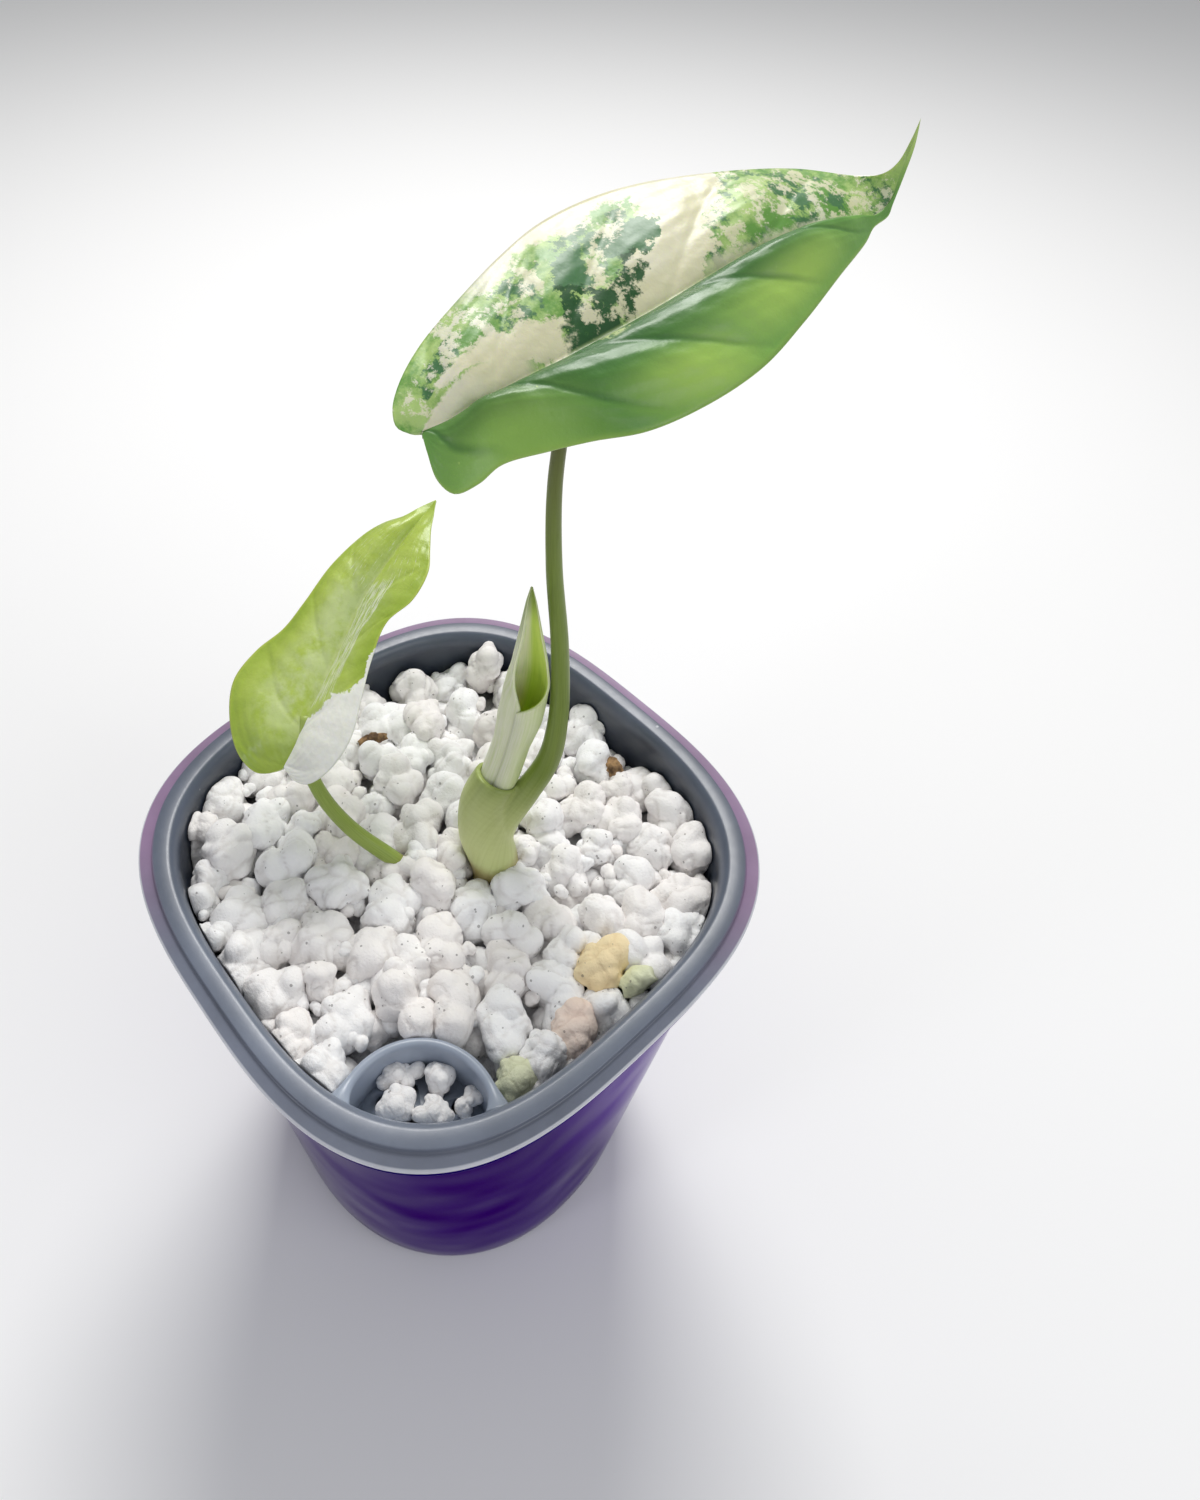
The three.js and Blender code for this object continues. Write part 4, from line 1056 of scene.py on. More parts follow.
# %% [markdown]
# Grains that the eye picks out are planned one by one: a tan one, a pinkish one and two pale green
# ones at the right, and five in the port. Their balls are given as right, away and up, seen from the
# port's corner, in the same words as in the solid model.
# %% Single grains
SEEN_FROM_PORT = math.radians(49)
SINGLE_BALLS = {
    "grain_tan": [[1.9, 1.6, 0.6, 3.9], [-2.3, -0.9, 0, 3.2], [0.3, -2.3, -0.3, 3.2], [0, 0, 0, 4]],
    "grain_pink": [[0.3, 2.2, 0.3, 3.5], [-0.8, -0.3, 0, 3.5], [0.1, -2.5, -0.2, 3], [0.8, 0, 0, 3.4]],
    "grain_lime_near": [[0, 0.2, 0, 3.6], [-0.6, -1, -0.2, 3.1], [1, 0.4, 0, 2.9]],
}
PORT_GRAINS = {
    "port_grain_long": ((26.3, -31.2, 91.7), [
        [-2.6, -0.9, 0, 1.5], [-1, 0, 0.2, 1.8], [0.9, 0.2, 0, 1.6], [2.6, 1, 0.2, 1.5]]),
    "port_grain_round": ((30.8, -26.8, 92.3), [
        [0, 0.3, 0, 2.6], [-0.8, 0.9, 0.3, 1.9], [0.9, 0.6, -0.2, 2], [-0.3, -1.1, -0.4, 1.8]]),
    "port_grain_big": ((29.4, -34.5, 92.4), [
        [0, 0, 0, 2.9], [1.4, 0.8, 0.4, 2.1], [1.2, -0.7, 0, 2.1], [-1.4, -0.7, -0.3, 2.1]]),
    "port_grain_lumpy": ((34.1, -30.5, 92.2), [
        [0, 0, 0, 2.3], [-1.4, -0.6, 0, 1.6], [1.5, -0.5, 0.1, 1.6], [0.1, 1.2, 0.2, 1.7]]),
    "port_grain_small": ((36.4, -25.6, 91.7), [[0.7, 0.8, 0.2, 1.6], [-0.6, -0.9, 0, 1.6]]),
}


def turned_balls(plan):
    c, s = math.cos(SEEN_FROM_PORT), math.sin(SEEN_FROM_PORT)
    return [(np.array([c * right - s * away, s * right + c * away, up]), radius)
            for right, away, up, radius in plan]


def single_grain(name, centre, plan, seed, clip):
    balls = turned_balls(plan)
    size = max(np.linalg.norm(middle) + radius for middle, radius in balls)
    return grain_piece(name + "_puffed", [(centre, size, lobes(balls, size * 0.8, seed, 6))], 20,
                       [name], 0.8, clip)


single_pieces = {}
for name, plan in SINGLE_BALLS.items():
    single_pieces[name] = single_grain(name, SINGLES[name], plan, 5, True)
for number, (name, (centre, plan)) in enumerate(PORT_GRAINS.items()):
    perlite_pieces.append(single_grain(name, centre, plan, 40 + number, False))

(lime_points, lime_faces), _, _ = tube(
    [[39.9, 5.2, 93.6], [41, 8.2, 95.4], [42.6, 10.4, 97.4]], [1.5, 2.4, 1.3], 24, 24)
lime_points = push_inside(roughened(lime_points, 0.93, 0.07, 3, 9))
lime_far = new_piece("grain_lime_far_puffed", lime_points, lime_faces,
                     {"shade": np.full(len(lime_points), 0.5)})
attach(lime_far, "root")
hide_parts("grain_lime_far")
single_pieces["grain_lime_far"] = lime_far
print("single grains:", len(single_pieces) + len(PORT_GRAINS))

# %% [markdown]
# Perlite is white and matt, and light that enters it spreads a little. Its hollows and undersides
# are painted darker, as painted shade. One function makes the plain material and its stained
# versions: a colour, a second colour for patches, a third for the painted shade in hollows, pits,
# and a few dark flecks of ash.
# %% Perlite materials
def perlite_material(name, main, patch, painted_hollow_shade, patch_share=0.35):
    made, tree, shader = new_material(
        name, Roughness=0.92, Subsurface_Weight=0.14,
        Subsurface_Radius=(1.0, 0.95, 0.9), Subsurface_Scale=0.0012,
    )
    mottle, specks, fine = surface(tree, 240, 0.26)
    broad = span(noise(object_place(tree), 55, 3, 0.6), 0.52, 0.75)
    colour = layered(mix(span(attribute(tree, "shade"), 0.0, 1.0), main, patch), (
        (broad * patch_share, patch),
        # Painted shade in each grain's creases and on its underside.
        (attribute(tree, "crease") * 0.5, painted_hollow_shade),
        (specks * 0.55, rgb(88, 80, 78))))
    colour.feeds(shader, "Base Color")
    relief(shader, mottle * 0.8 + fine, 0.34, 0.6)
    return made


white_perlite = perlite_material(
    "white perlite", rgb(251, 251, 252), rgb(244, 240, 238), rgb(184, 174, 168))
for piece in perlite_pieces:
    dress(piece, white_perlite)
stained = {
    "grain_tan": perlite_material(
        "tan perlite", rgb(250, 236, 202), rgb(240, 214, 162), rgb(208, 174, 124), 0.7),
    "grain_pink": perlite_material(
        "pink perlite", rgb(246, 236, 228), rgb(240, 214, 198), rgb(204, 170, 152), 0.7),
    "grain_lime_near": perlite_material(
        "lime perlite", rgb(238, 240, 220), rgb(214, 218, 172), rgb(170, 172, 120), 0.8),
}
stained["grain_lime_far"] = stained["grain_lime_near"]
for name, piece in single_pieces.items():
    dress(piece, stained[name])
print("perlite colours:", 1 + len(set(stained.values())))

# %% [markdown]
# Two scraps of bark lie in the top layer. Each is a short curled flake: a stalk whose section is
# roughened by a wave, with a fibrous brown finish. The rootstock below the surface keeps its solid
# and gets a finish of the same kind.
# %% Bark chips and the rootstock
BARK = {
    "bark_chip_left": ([[-31.2, 0.6, 95.4], [-29.6, 3.6, 96.2], [-28.8, 7.2, 95.2]], [0.7, 1.5, 0.6]),
    "bark_chip_right": ([[3, 37.4, 92.2], [5.9, 37.9, 93.2], [9, 36.9, 92.4]], [1.2, 2.2, 1.1]),
}


def fibre_material(name, dark, light, scale):
    made, tree, shader = new_material(name, Roughness=0.85)
    mottle, _, _ = surface(tree, scale, 0.1)
    mix(span(mottle, 0.35, 0.7), dark, light).feeds(shader, "Base Color")
    relief(shader, mottle, 0.4, 0.7)
    return made


bark_brown = fibre_material("bark", rgb(84, 62, 40), rgb(168, 134, 92), 420)
for name, (route_points, radii) in BARK.items():
    (chip_points, chip_faces), _, _ = tube(route_points, radii, 28, 30)
    chip = new_piece(name + "_flake", roughened(chip_points, 0.88, 0.1, 9, 9, 1), chip_faces)
    dress(chip, bark_brown)
    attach(chip, "root")
    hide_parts(name)

root_skin = fibre_material("root skin", rgb(176, 148, 100), rgb(214, 192, 150), 300)
dress(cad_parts["rootstock"], root_skin)
print("bark chips:", len(BARK))

# %% [markdown]
# A blade is drawn from three curves: the midrib and one outline for each half, from the tip to the
# notch between the back lobes. Straight lines from midrib to outline would give a flat leaf, so an
# arch lifts each half, the side veins pull it down in soft valleys, and the skin between them is
# quilted. Every point remembers how far along and across the leaf it is, for the colours.
# %% Blade shapes
BLADES = {
    "leaf_large": {
        "joint": (6.2, 18.8, 197.7), "azimuth": 83.3, "pitch": 9.4, "roll": 10.3,
        "rib": [
            [65.1, 1, 10], [64.1, 0.4, 5.9], [62.7, 0, 2.4], [60.2, -1.2, -1.7], [55.8, -1.5, -2.6],
            [51.3, -0.6, -1.3], [42.4, 0.1, 0.3], [34.5, 0.3, 1], [22.7, 0.1, 0.8], [11.9, -0.1, 0.3],
            [0, 0, 0], [-6.9, 0.3, -0.2], [-13.3, 0.6, -0.5], [-19.7, 0.9, -0.8], [-23.2, 1.4, -1],
        ],
        "far": [
            [65.1, 1, 10], [64.4, 1.1, 6.3], [62.7, 1, 3.3], [61.2, 1.9, 1.5], [59.1, 4.6, 0.4],
            [52.1, 11.2, 0.9], [40.2, 15.9, 2.8], [27.8, 20.6, 3.3], [19.4, 22.2, 3.3], [10.5, 22, 3.2],
            [2.2, 19.7, 3.1], [-7.2, 16, 2.9], [-16.5, 12, 2.1], [-22.3, 8.1, 1.5], [-25, 5.3, 0.8],
            [-25.7, 3.3, 0], [-24.7, 1.9, -0.5], [-23.2, 1.4, -1],
        ],
        "near": [
            [65.1, 1, 10], [64.4, 0.1, 5.9], [63, -0.6, 2.3], [60.8, -1.6, -1.8], [59.3, -2.4, -2.8],
            [56.3, -2.6, -3.3], [52.4, -4.5, -3.2], [43.1, -8, -2.5], [31.8, -12.2, -2],
            [20.5, -15.6, -1.6], [10.2, -16.3, -1.6], [0.8, -15.2, -1.6], [-5.7, -12.1, -2],
            [-11.1, -9.8, -2.5], [-16.8, -7.4, -3.5], [-20.5, -7.6, -4.4], [-23.9, -7, -4.6],
            [-24.8, -4.5, -3.8], [-24, -1, -2], [-23.2, 1.4, -1],
        ],
        "joint_share": 22 / 34, "margin_joint": 0.56, "arch": (2.2, 4.2), "skew": (0.8, 0.7),
        "veins": 6, "sweep": 0.14, "quilt": 0.6, "plain_tip": 0.16,
    },
    "leaf_small": {
        "joint": (-23, -13.3, 122.5), "azimuth": 115.2, "pitch": 22.2, "roll": -9.8,
        "rib": [
            [48.3, -3.5, -1.1], [42.5, -2.9, 0], [36.1, -1.8, 0.5], [23.4, 0.3, 0.4], [13.2, 0.1, 0],
            [4.9, 0, 0], [0, 0, 0], [-2.4, -0.2, -0.1], [-5.6, -0.2, -0.6], [-9.7, 0.5, -1.5],
        ],
        "far": [
            [48.3, -3.5, -1.1], [45.4, -1.6, 0], [42.4, 0.1, 1], [40, 2.9, 1.6], [36.5, 5.4, 2.2],
            [28.1, 8.5, 3], [19.3, 10.1, 3], [13.4, 11.8, 2.6], [8, 15.1, 2.4], [1.6, 16.4, 2.5],
            [-4.8, 13.7, 2.2], [-10.5, 8.8, 1.1], [-12.2, 4.9, -0.5], [-11.3, 2.5, -1.4], [-9.7, 0.5, -1.5],
        ],
        "near": [
            [48.3, -3.5, -1.1], [44.5, -5.3, 0], [40.7, -6.9, 1], [36.4, -9, 1.6], [31.6, -11.1, 2.1],
            [25.2, -11.1, 2.8], [19.6, -8.7, 3.5], [12, -9.3, 3.5], [4.8, -10.7, 3.1], [-2.1, -11.6, 2.1],
            [-7.5, -9.7, 0.6], [-10.9, -6, -1], [-11.2, -2.9, -1.5], [-9.7, 0.5, -1.5],
        ],
        "joint_share": 16 / 22, "margin_joint": 0.6, "arch": (1.8, 1.2), "skew": (0.8, 0.8),
        "veins": 5, "sweep": 0.12, "quilt": 0.3, "plain_tip": 0.08,
    },
}
RIB_DEPTH, RIDGE_HEIGHT = 0.8, 0.1
EDGE_THICKNESS, MORE_INSIDE = 0.2, 0.35
ROWS, COLUMNS = 220, 34


def blade_rise(shape, side, t, v):
    """The arch of one half, with a soft valley along each side vein."""
    middle = smooth(0.5 * shape["plain_tip"], 2.2 * shape["plain_tip"], t) * (1 - smooth(0.86, 1, t))
    arch = shape["arch"][side] * np.sin(np.pi * v ** shape["skew"][side])
    vein = (0.5 + 0.5 * np.cos(2 * np.pi * shape["veins"] * (t + shape["sweep"] * v))) ** 2
    return middle * (arch - shape["quilt"] * vein * np.sin(np.pi * v))


def fine_rise(shape, t, v):
    """Narrow valleys along the side veins, and a quilted skin between them."""
    middle = smooth(0.1, 0.3, t) * (1 - smooth(0.92, 1, t)) * smooth(0, 0.12, v) * (1 - smooth(0.9, 1, v))
    swept = shape["veins"] * (t + shape["sweep"] * v)
    off = np.abs((swept + 0.5) % 1 - 0.5)
    groove = np.exp(-(off / 0.045) ** 2)
    net = np.sin(2 * np.pi * (2.6 * swept + 1.7 * v)) * np.sin(2 * np.pi * (4.3 * v - swept))
    return middle * (-0.1 * groove + 0.07 * net)


def place_matrix(shape):
    turn, nod, tilt = (math.radians(shape[key]) for key in ("azimuth", "pitch", "roll"))
    along = np.array([math.cos(turn) * math.cos(nod), math.sin(turn) * math.cos(nod), math.sin(nod)])
    level = np.array([-math.sin(turn), math.cos(turn), 0])
    upright = np.cross(along, level)
    across = level * math.cos(tilt) + upright * math.sin(tilt)
    return np.stack([along, across, np.cross(along, across)])


def blade_points(shape, side, t, v):
    """The upper skin of one half, as an array of rows by columns by three."""
    name = ("far", "near")[side]
    fine = spline(shape["rib"], np.linspace(0, 1, 401))
    rib_joint = np.linalg.norm(fine, axis=1).argmin() / 400
    def share(joint):
        turn = shape["joint_share"]
        return np.where(t <= turn, joint * t / turn, joint + (1 - joint) * (t - turn) / (1 - turn))
    inner = spline(shape["rib"], share(rib_joint))[:, None]
    outer = spline(shape[name], share(shape["margin_joint"]))[:, None]
    points = inner + (outer - inner) * v[None, :, None]
    t_grid, v_grid = np.meshgrid(t, v, indexing="ij")
    points[:, :, 2] += blade_rise(shape, side, t_grid, v_grid) + fine_rise(shape, t_grid, v_grid)
    return points


def build_blade(name, shape):
    t = np.linspace(0, 1, ROWS + 1)
    v = np.linspace(0, 1, COLUMNS + 1)
    far = blade_points(shape, 0, t, v)
    near = blade_points(shape, 1, t, v)
    top = np.concatenate([far[:, ::-1], near[:, 1:]], axis=1)
    across = np.concatenate([v[::-1], -v[1:]])
    t_grid, v_grid = np.meshgrid(t, across, indexing="ij")
    under = top.copy()
    thick = EDGE_THICKNESS + MORE_INSIDE * (1 - smooth(0.85, 1, np.abs(v_grid)))
    rib = RIB_DEPTH * (1 - np.abs(v_grid)) ** 10 * smooth(0, 0.2, t_grid)
    under[:, :, 2] -= thick + rib
    # A pale ridge marks the midrib on the upper skin.
    top[:, :, 2] += RIDGE_HEIGHT * np.exp(-(v_grid / 0.035) ** 2) * smooth(0.05, 0.2, t_grid)
    wide = top.shape[1]
    points = np.vstack([top.reshape(-1, 3), under.reshape(-1, 3)])
    points = points @ place_matrix(shape) + np.array(shape["joint"])
    number = np.arange((ROWS + 1) * wide).reshape(ROWS + 1, wide)
    a, b = number[:-1, :-1].ravel(), number[1:, :-1].ravel()
    c, d = number[1:, 1:].ravel(), number[:-1, 1:].ravel()
    shift = number.size
    faces = np.vstack([np.stack([a, b, c, d], -1), np.stack([a, d, c, b], -1) + shift])
    for column, flip in ((0, False), (wide - 1, True)):
        p, q = number[:-1, column], number[1:, column]
        edge = np.stack([p, p + shift, q + shift, q], -1)
        faces = np.vstack([faces, edge[:, ::-1] if flip else edge])
    values = {
        "along": np.tile(t_grid.ravel(), 2),
        "across": np.tile(v_grid.ravel(), 2),
        "underside": np.repeat([0.0, 1.0], number.size),
    }
    return tidy(new_piece(name + "_blade", points, faces.tolist(), values), 0.002)


large_blade = build_blade("leaf_large", BLADES["leaf_large"])
small_blade = build_blade("leaf_small", BLADES["leaf_small"])
print("blade faces:", len(large_blade.data.polygons), len(small_blade.data.polygons))

# %% [markdown]
# Variegation is cell lines without green in them, which the leaf lays down in sectors along its side
# veins. So each sector is a range along the leaf, and fractal noise frays its edge into the islands
# and flecks that the real leaf has. Painting it from the point's place on the leaf, and not from a
# flat picture, keeps the pattern on the leaf from every side.
# %% Leaf helpers
def vein_lines(along, size, shape, width):
    """A soft line on each side vein, fading towards the margin."""
    phase = maths("FRACT", (size * shape["sweep"] + along) * float(shape["veins"]))
    off = maths("MINIMUM", phase, 1.0 - phase)
    return falling(off, 0.0, width) * falling(size, 0.55, 1.0) * span(along, 0.1, 0.25)


def leaf_inputs(tree):
    """Where a point lies on the leaf; a fractal wander frays every edge that is drawn from it."""
    along, across = attribute(tree, "along"), attribute(tree, "across")
    size = abs(across)
    far = maths("GREATER_THAN", across, 0.0)
    place = object_place(tree)
    first, second, _ = parts_of(noise(place, 120, 9, 0.7, "Color"))
    return along, across, size, far, place, along + (first * 0.22 - 0.11), size + (second * 0.7 - 0.35)


def patches(share, chance, sharp=0.03):
    """Patches that a noise cuts out; a share of 0.5 covers about half of the surface."""
    return span(share + chance, 1.0 - sharp, 1.0 + sharp)


print("leaf helpers ready")

# %% [markdown]
# The large blade's far half has, from the tip: flecked greens, a clean cream block, dark patches by
# the joint with islands in the cream, then a wedge and a hem of cream in the back lobe. Its near
# half is green all over, with painted shade by the midrib and in the side veins, and a painted
# glow towards the margin where light comes through.
# %% Large leaf material
def far_half(along, size, place, loose_along, loose_size, broad, fine):
    cream, cream_warm = rgb(238, 235, 218), rgb(222, 218, 184)
    light, mid, dark, deep = rgb(176, 204, 124), rgb(104, 156, 70), rgb(74, 122, 76), rgb(34, 84, 38)
    coarse = noise(place, 170, 7, 0.68)
    flecks = noise(place, 260, 8, 0.74)
    by_joint = window(loose_along, 0.52, 0.68, 0.015) * falling(loose_size, 0.3, 0.42)
    dark_share = either(
        by_joint * 0.62,
        window(loose_along, 0.53, 0.68, 0.02) * window(size, 0.25, 0.86, 0.06) * 0.55,
        window(along, 0.67, 0.8, 0.03) * window(size, 0.25, 0.8, 0.08) * 0.47,
        window(along, 0.08, 0.44, 0.03) * 0.47,
        window(size, 0.4, 0.8, 0.05) * window(along, 0.84, 0.95, 0.02) * 0.53)
    dark_green = mix(span(by_joint + fine, 0.9, 1.2), dark, deep)
    # The block leans a little along the side veins, and the wedge runs lengthwise from the joint.
    slant = size * 0.06 + loose_along
    lobe_place = loose_size + 1.02 - along * 1.4
    fleck_share = either(
        window(along, 0.07, 0.43, 0.02) * 0.475,
        window(along, 0.5, 0.66, 0.04) * 0.455,
        window(along, 0.66, 0.99, 0.04) * 0.46)
    block = window(slant, 0.43, 0.562, 0.006)
    wedge = window(lobe_place, 0.12, 0.31, 0.02) * window(loose_along, 0.655, 0.92, 0.012)
    hem = falling(loose_size, 0.24, 0.3) * window(along, 0.74, 1.02, 0.02)
    edge = span(loose_size, 0.8, 0.86) * window(along, 0.44, 0.8, 0.05)
    edge_by_tip = span(loose_size, 0.93, 0.97) * window(along, 0.06, 0.24, 0.03)
    beside_rib = window(along, 0.2, 0.44, 0.04) * falling(loose_size, 0.02, 0.12) * 0.8
    flecked = patches(fleck_share, flecks) * 0.85
    cream_share = either(block, wedge, hem, edge, edge_by_tip, beside_rib, flecked)
    # Dark islands stand in the cream along the edge of the block that faces the joint.
    fringe = window(slant, 0.525, 0.6, 0.02) * window(size, 0.3, 0.86, 0.06)
    islands = patches(fringe * 0.53, coarse, 0.015)
    veil = span(noise(place, 150, 7, 0.7), 0.4, 0.6)
    return layered(mix(veil, mid, light), (
        (patches(dark_share, coarse), dark_green),
        (islands, dark_green),
        (cream_share * (1.0 - islands), mix(span(broad, 0.35, 0.6), cream, cream_warm))))


def near_half(along, size, loose_along, line, broad, fine):
    # A painted glow where light comes through the blade towards the margin.
    painted_glow = either(
        window(along, 0.3, 0.52, 0.09) * window(size, 0.45, 0.9, 0.18),
        window(along, 0.56, 0.70, 0.07) * window(size, 0.55, 1.0, 0.16),
        window(along, 0.78, 0.92, 0.07) * 0.55)
    # Painted shade by the midrib.
    shade = window(along, 0.28, 0.95, 0.1) * falling(size, 0.15, 0.75)
    lime_spots = patches(span(broad, 0.45, 0.6) * 0.335, fine)
    blot = window(loose_along, 0.59, 0.615, 0.004) * window(size, 0.05, 0.15, 0.02)
    return layered(mix(span(broad, 0.35, 0.65), rgb(88, 142, 62), rgb(120, 168, 84)), (
        (painted_glow * 0.8, rgb(176, 210, 98)),
        (shade * 0.85, rgb(46, 98, 44)),
        (span(size, 0.94, 1.0) * 0.6, rgb(140, 176, 86)),
        # The side veins' own darker green, deepened by painted shade in their valleys.
        (line * 0.5, rgb(52, 104, 50)),
        (lime_spots * 0.7, rgb(176, 206, 110)),
        (blot * 0.8, rgb(200, 214, 150))))


def large_leaf_material():
    made, tree, shader = new_material(
        "variegated leaf", Roughness=0.38, IOR=1.42, Coat_Weight=0.18, Coat_Roughness=0.22,
        Subsurface_Weight=0.16, Subsurface_Radius=(0.8, 1.0, 0.3), Subsurface_Scale=0.0012,
    )
    along, _, size, far, place, loose_along, loose_size = leaf_inputs(tree)
    broad, fine = noise(place, 48, 3, 0.5), noise(place, 300, 6, 0.72)
    line = vein_lines(along, size, BLADES["leaf_large"], 0.09)
    near_colour = near_half(along, size, loose_along, line, broad, fine)
    far_colour = far_half(along, size, place, loose_along, loose_size, broad, fine)
    rib = falling(size, 0.012, 0.034) * window(along, 0.08, 0.66, 0.02)
    colour = layered(mix(far, near_colour, far_colour), (
        (rib * 0.45, rgb(176, 196, 130)),
        (falling(along, 0.03, 0.13), rgb(170, 196, 122)),
        (attribute(tree, "underside") * 0.55, rgb(168, 190, 132))))
    colour.feeds(shader, "Base Color")
    (noise(place, 300, 3, 0.5) * 0.3 + 0.24).feeds(shader, "Roughness")
    relief(shader, noise(place, 520, 3, 0.5) - line * 0.5, 0.2, 0.7)
    return made


dress(large_blade, large_leaf_material())
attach(large_blade, "root")
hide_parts("leaf_large")
print("large leaf painted")

# %% [markdown]
# The older, smaller leaf is lime green with a silver bloom between its veins, strengthened by a
# painted sheen. Its white sector fills the back lobe on the near side and runs up that margin in a
# thin line, and pale streaks follow the midrib.
# %% Small leaf material
def small_leaf_material():
    made, tree, shader = new_material(
        "lime leaf", Roughness=0.36, IOR=1.42, Coat_Weight=0.3, Coat_Roughness=0.2,
        Subsurface_Weight=0.16, Subsurface_Radius=(0.8, 1.0, 0.3), Subsurface_Scale=0.0012,
    )
    along, across, size, far, place, loose_along, loose_size = leaf_inputs(tree)
    lime, green, silver = rgb(176, 196, 84), rgb(142, 168, 50), rgb(214, 222, 184)
    line = vein_lines(along, size, BLADES["leaf_small"], 0.1)
    # A silver bloom by the midrib, strengthened by a painted sheen.
    bloom_and_sheen = window(along, 0.3, 0.86, 0.14) * falling(size, 0.3, 0.85)
    bloom_and_sheen = bloom_and_sheen * span(noise(place, 260, 5, 0.65), 0.3, 0.6)
    streaks = noise(point(tree, along * 7.0, across * 15.0), 2.4, 6, 0.68)
    pale_share = either(
        window(along, 0.3, 0.74, 0.05) * window(across, -0.5, 0.02, 0.06) * 0.5,
        window(along, 0.06, 0.4, 0.05) * 0.38)
    lobe = span(size * 0.03 + loose_along, 0.742, 0.752)
    white_line = span(along * 0.55 + loose_size, 1.33, 1.35) * span(along, 0.56, 0.62)
    whiteness = either((1.0 - far) * either(lobe, white_line), patches(pale_share, streaks, 0.05) * 0.6)
    rib = falling(size, 0.02, 0.05) * window(along, 0.1, 0.62, 0.03)
    margin = span(size, 0.95, 1.0) * (1.0 - whiteness)
    colour = layered(mix(span(noise(place, 48, 3, 0.5), 0.35, 0.65), green, lime), (
        (span(size, 0.7, 1.0) * 0.5, green),
        (bloom_and_sheen * (far * 0.3 + 0.2), silver),
        (whiteness * 0.94, rgb(240, 240, 234)),
        (rib * 0.35, rgb(214, 224, 160)),
        (margin * 0.6, rgb(190, 204, 90)),
        (attribute(tree, "underside") * 0.5, rgb(180, 198, 120))))
    colour.feeds(shader, "Base Color")
    (noise(place, 300, 3, 0.5) * 0.3 + 0.22).feeds(shader, "Roughness")
    relief(shader, noise(place, 420, 3, 0.5) - line * 0.15, 0.34, 0.8)
    return made


dress(small_blade, small_leaf_material())
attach(small_blade, "root")
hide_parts("leaf_small")
print("small leaf painted")

# %% [markdown]
# The large stalk widens at its foot into a sheath that wraps the next leaf. On the plant the two are
# one tissue, so the two lofted bodies are melted together with a voxel remesh, which joins them with
# a soft web, and smoothed. The new leaf's shape, a little larger, is then cut out of the cup.
# %% Stalks and sheath
LARGE_STALK = [
    [4.6, 6.8, 94.1], [4.9, 9.3, 100.8], [6.4, 13.3, 107.3], [8.1, 16.8, 115.3], [8.9, 17.9, 126.5],
    [8.6, 17.6, 143.7], [7.3, 16.5, 162.1], [6.8, 16.3, 177.3], [6.7, 17.4, 188.5], [6, 19.1, 197.3],
]
LARGE_RADII = [3.2, 2.9, 2.45, 2.15, 1.8, 1.55, 1.35, 1.2, 1.1, 1]
SHEATH = [[6, 5.8, 87.7], [6.5, 5.7, 93], [3.4, 5.7, 99.6], [1.8, 7.1, 105.2], [2.2, 9.8, 110.6]]
SHEATH_RADII = [4.1, 4.5, 4.8, 4.5, 4.15]
SMALL_STALK = [
    [4, 1, 84.4], [0.4, -3.6, 87], [-3, -7, 91.2], [-5.6, -9.7, 95.6], [-11.2, -14.2, 102.8],
    [-15.7, -16.9, 111.5], [-19.9, -16.5, 118.3], [-23.1, -13.5, 122.4],
]
SMALL_RADII = [1.8, 1.7, 1.6, 1.5, 1.4, 1.3, 1.2, 1.1]
NEW_LEAF = [
    [2.4, 6.3, 100.9], [2, 8.5, 106.4], [2.3, 10.6, 111.5], [3.1, 12.5, 119.6], [4.1, 13.3, 126.6],
    [5, 13.6, 133.7], [5.7, 13.3, 141.8], [6.5, 12.6, 149.9], [7.4, 11.8, 157], [8.3, 11, 161.4],
]
NEW_LEAF_RADII = [2.4, 3.1, 3.5, 3.4, 4, 3.9, 3, 1.85, 0.9, 0.2]
VOXEL, SMOOTHING_ROUNDS = 0.36, 6
HOLLOW_GAP = 0.12


def melt(piece):
    """A voxel remesh of overlapping closed bodies into one skin, then smoothing."""
    remesh = piece.modifiers.new("melt", "REMESH")
    remesh.mode = "VOXEL"
    remesh.voxel_size = VOXEL * MM
    soften = piece.modifiers.new("soften", "SMOOTH")
    soften.factor = 0.5
    soften.iterations = SMOOTHING_ROUNDS
    return applied(piece)


def mark_stalk(piece, centre, frames):
    """Stores how far along and round the stalk each point is."""
    across, side = frames
    points = np.array([v.co for v in piece.data.vertices]) / MM
    along, round_it = [], []
    for start in range(0, len(points), 4000):
        block = points[start:start + 4000]
        nearest = np.linalg.norm(block[:, None] - centre[None], axis=2).argmin(axis=1)
        offset = block - centre[nearest]
        along.append(nearest / (len(centre) - 1))
        round_it.append(np.arctan2((offset * side[nearest]).sum(1), (offset * across[nearest]).sum(1)))
    store(piece.data, "along", np.concatenate(along))
    store(piece.data, "round", np.concatenate(round_it))


def build_large_petiole():
    stalk_body, centre, frames = tube(LARGE_STALK, LARGE_RADII, 24, 110)
    sheath_body, _, _ = tube(SHEATH, SHEATH_RADII, 32, 40)
    piece = melt(new_piece("petiole_large_sheath", *combined([stalk_body, sheath_body])))
    hollow, _, _ = tube(NEW_LEAF, [radius + HOLLOW_GAP for radius in NEW_LEAF_RADII], 40, 60)
    mark_stalk(cut(piece, [hollow]), centre, frames)
    return piece


petiole_large = build_large_petiole()
(small_points, small_faces), small_centre, small_frames = tube(SMALL_STALK, SMALL_RADII, 24, 60)
petiole_small = new_piece("petiole_small_stalk", small_points, small_faces)
mark_stalk(petiole_small, small_centre, small_frames)
print("stalk faces:", len(petiole_large.data.polygons), len(petiole_small.data.polygons))
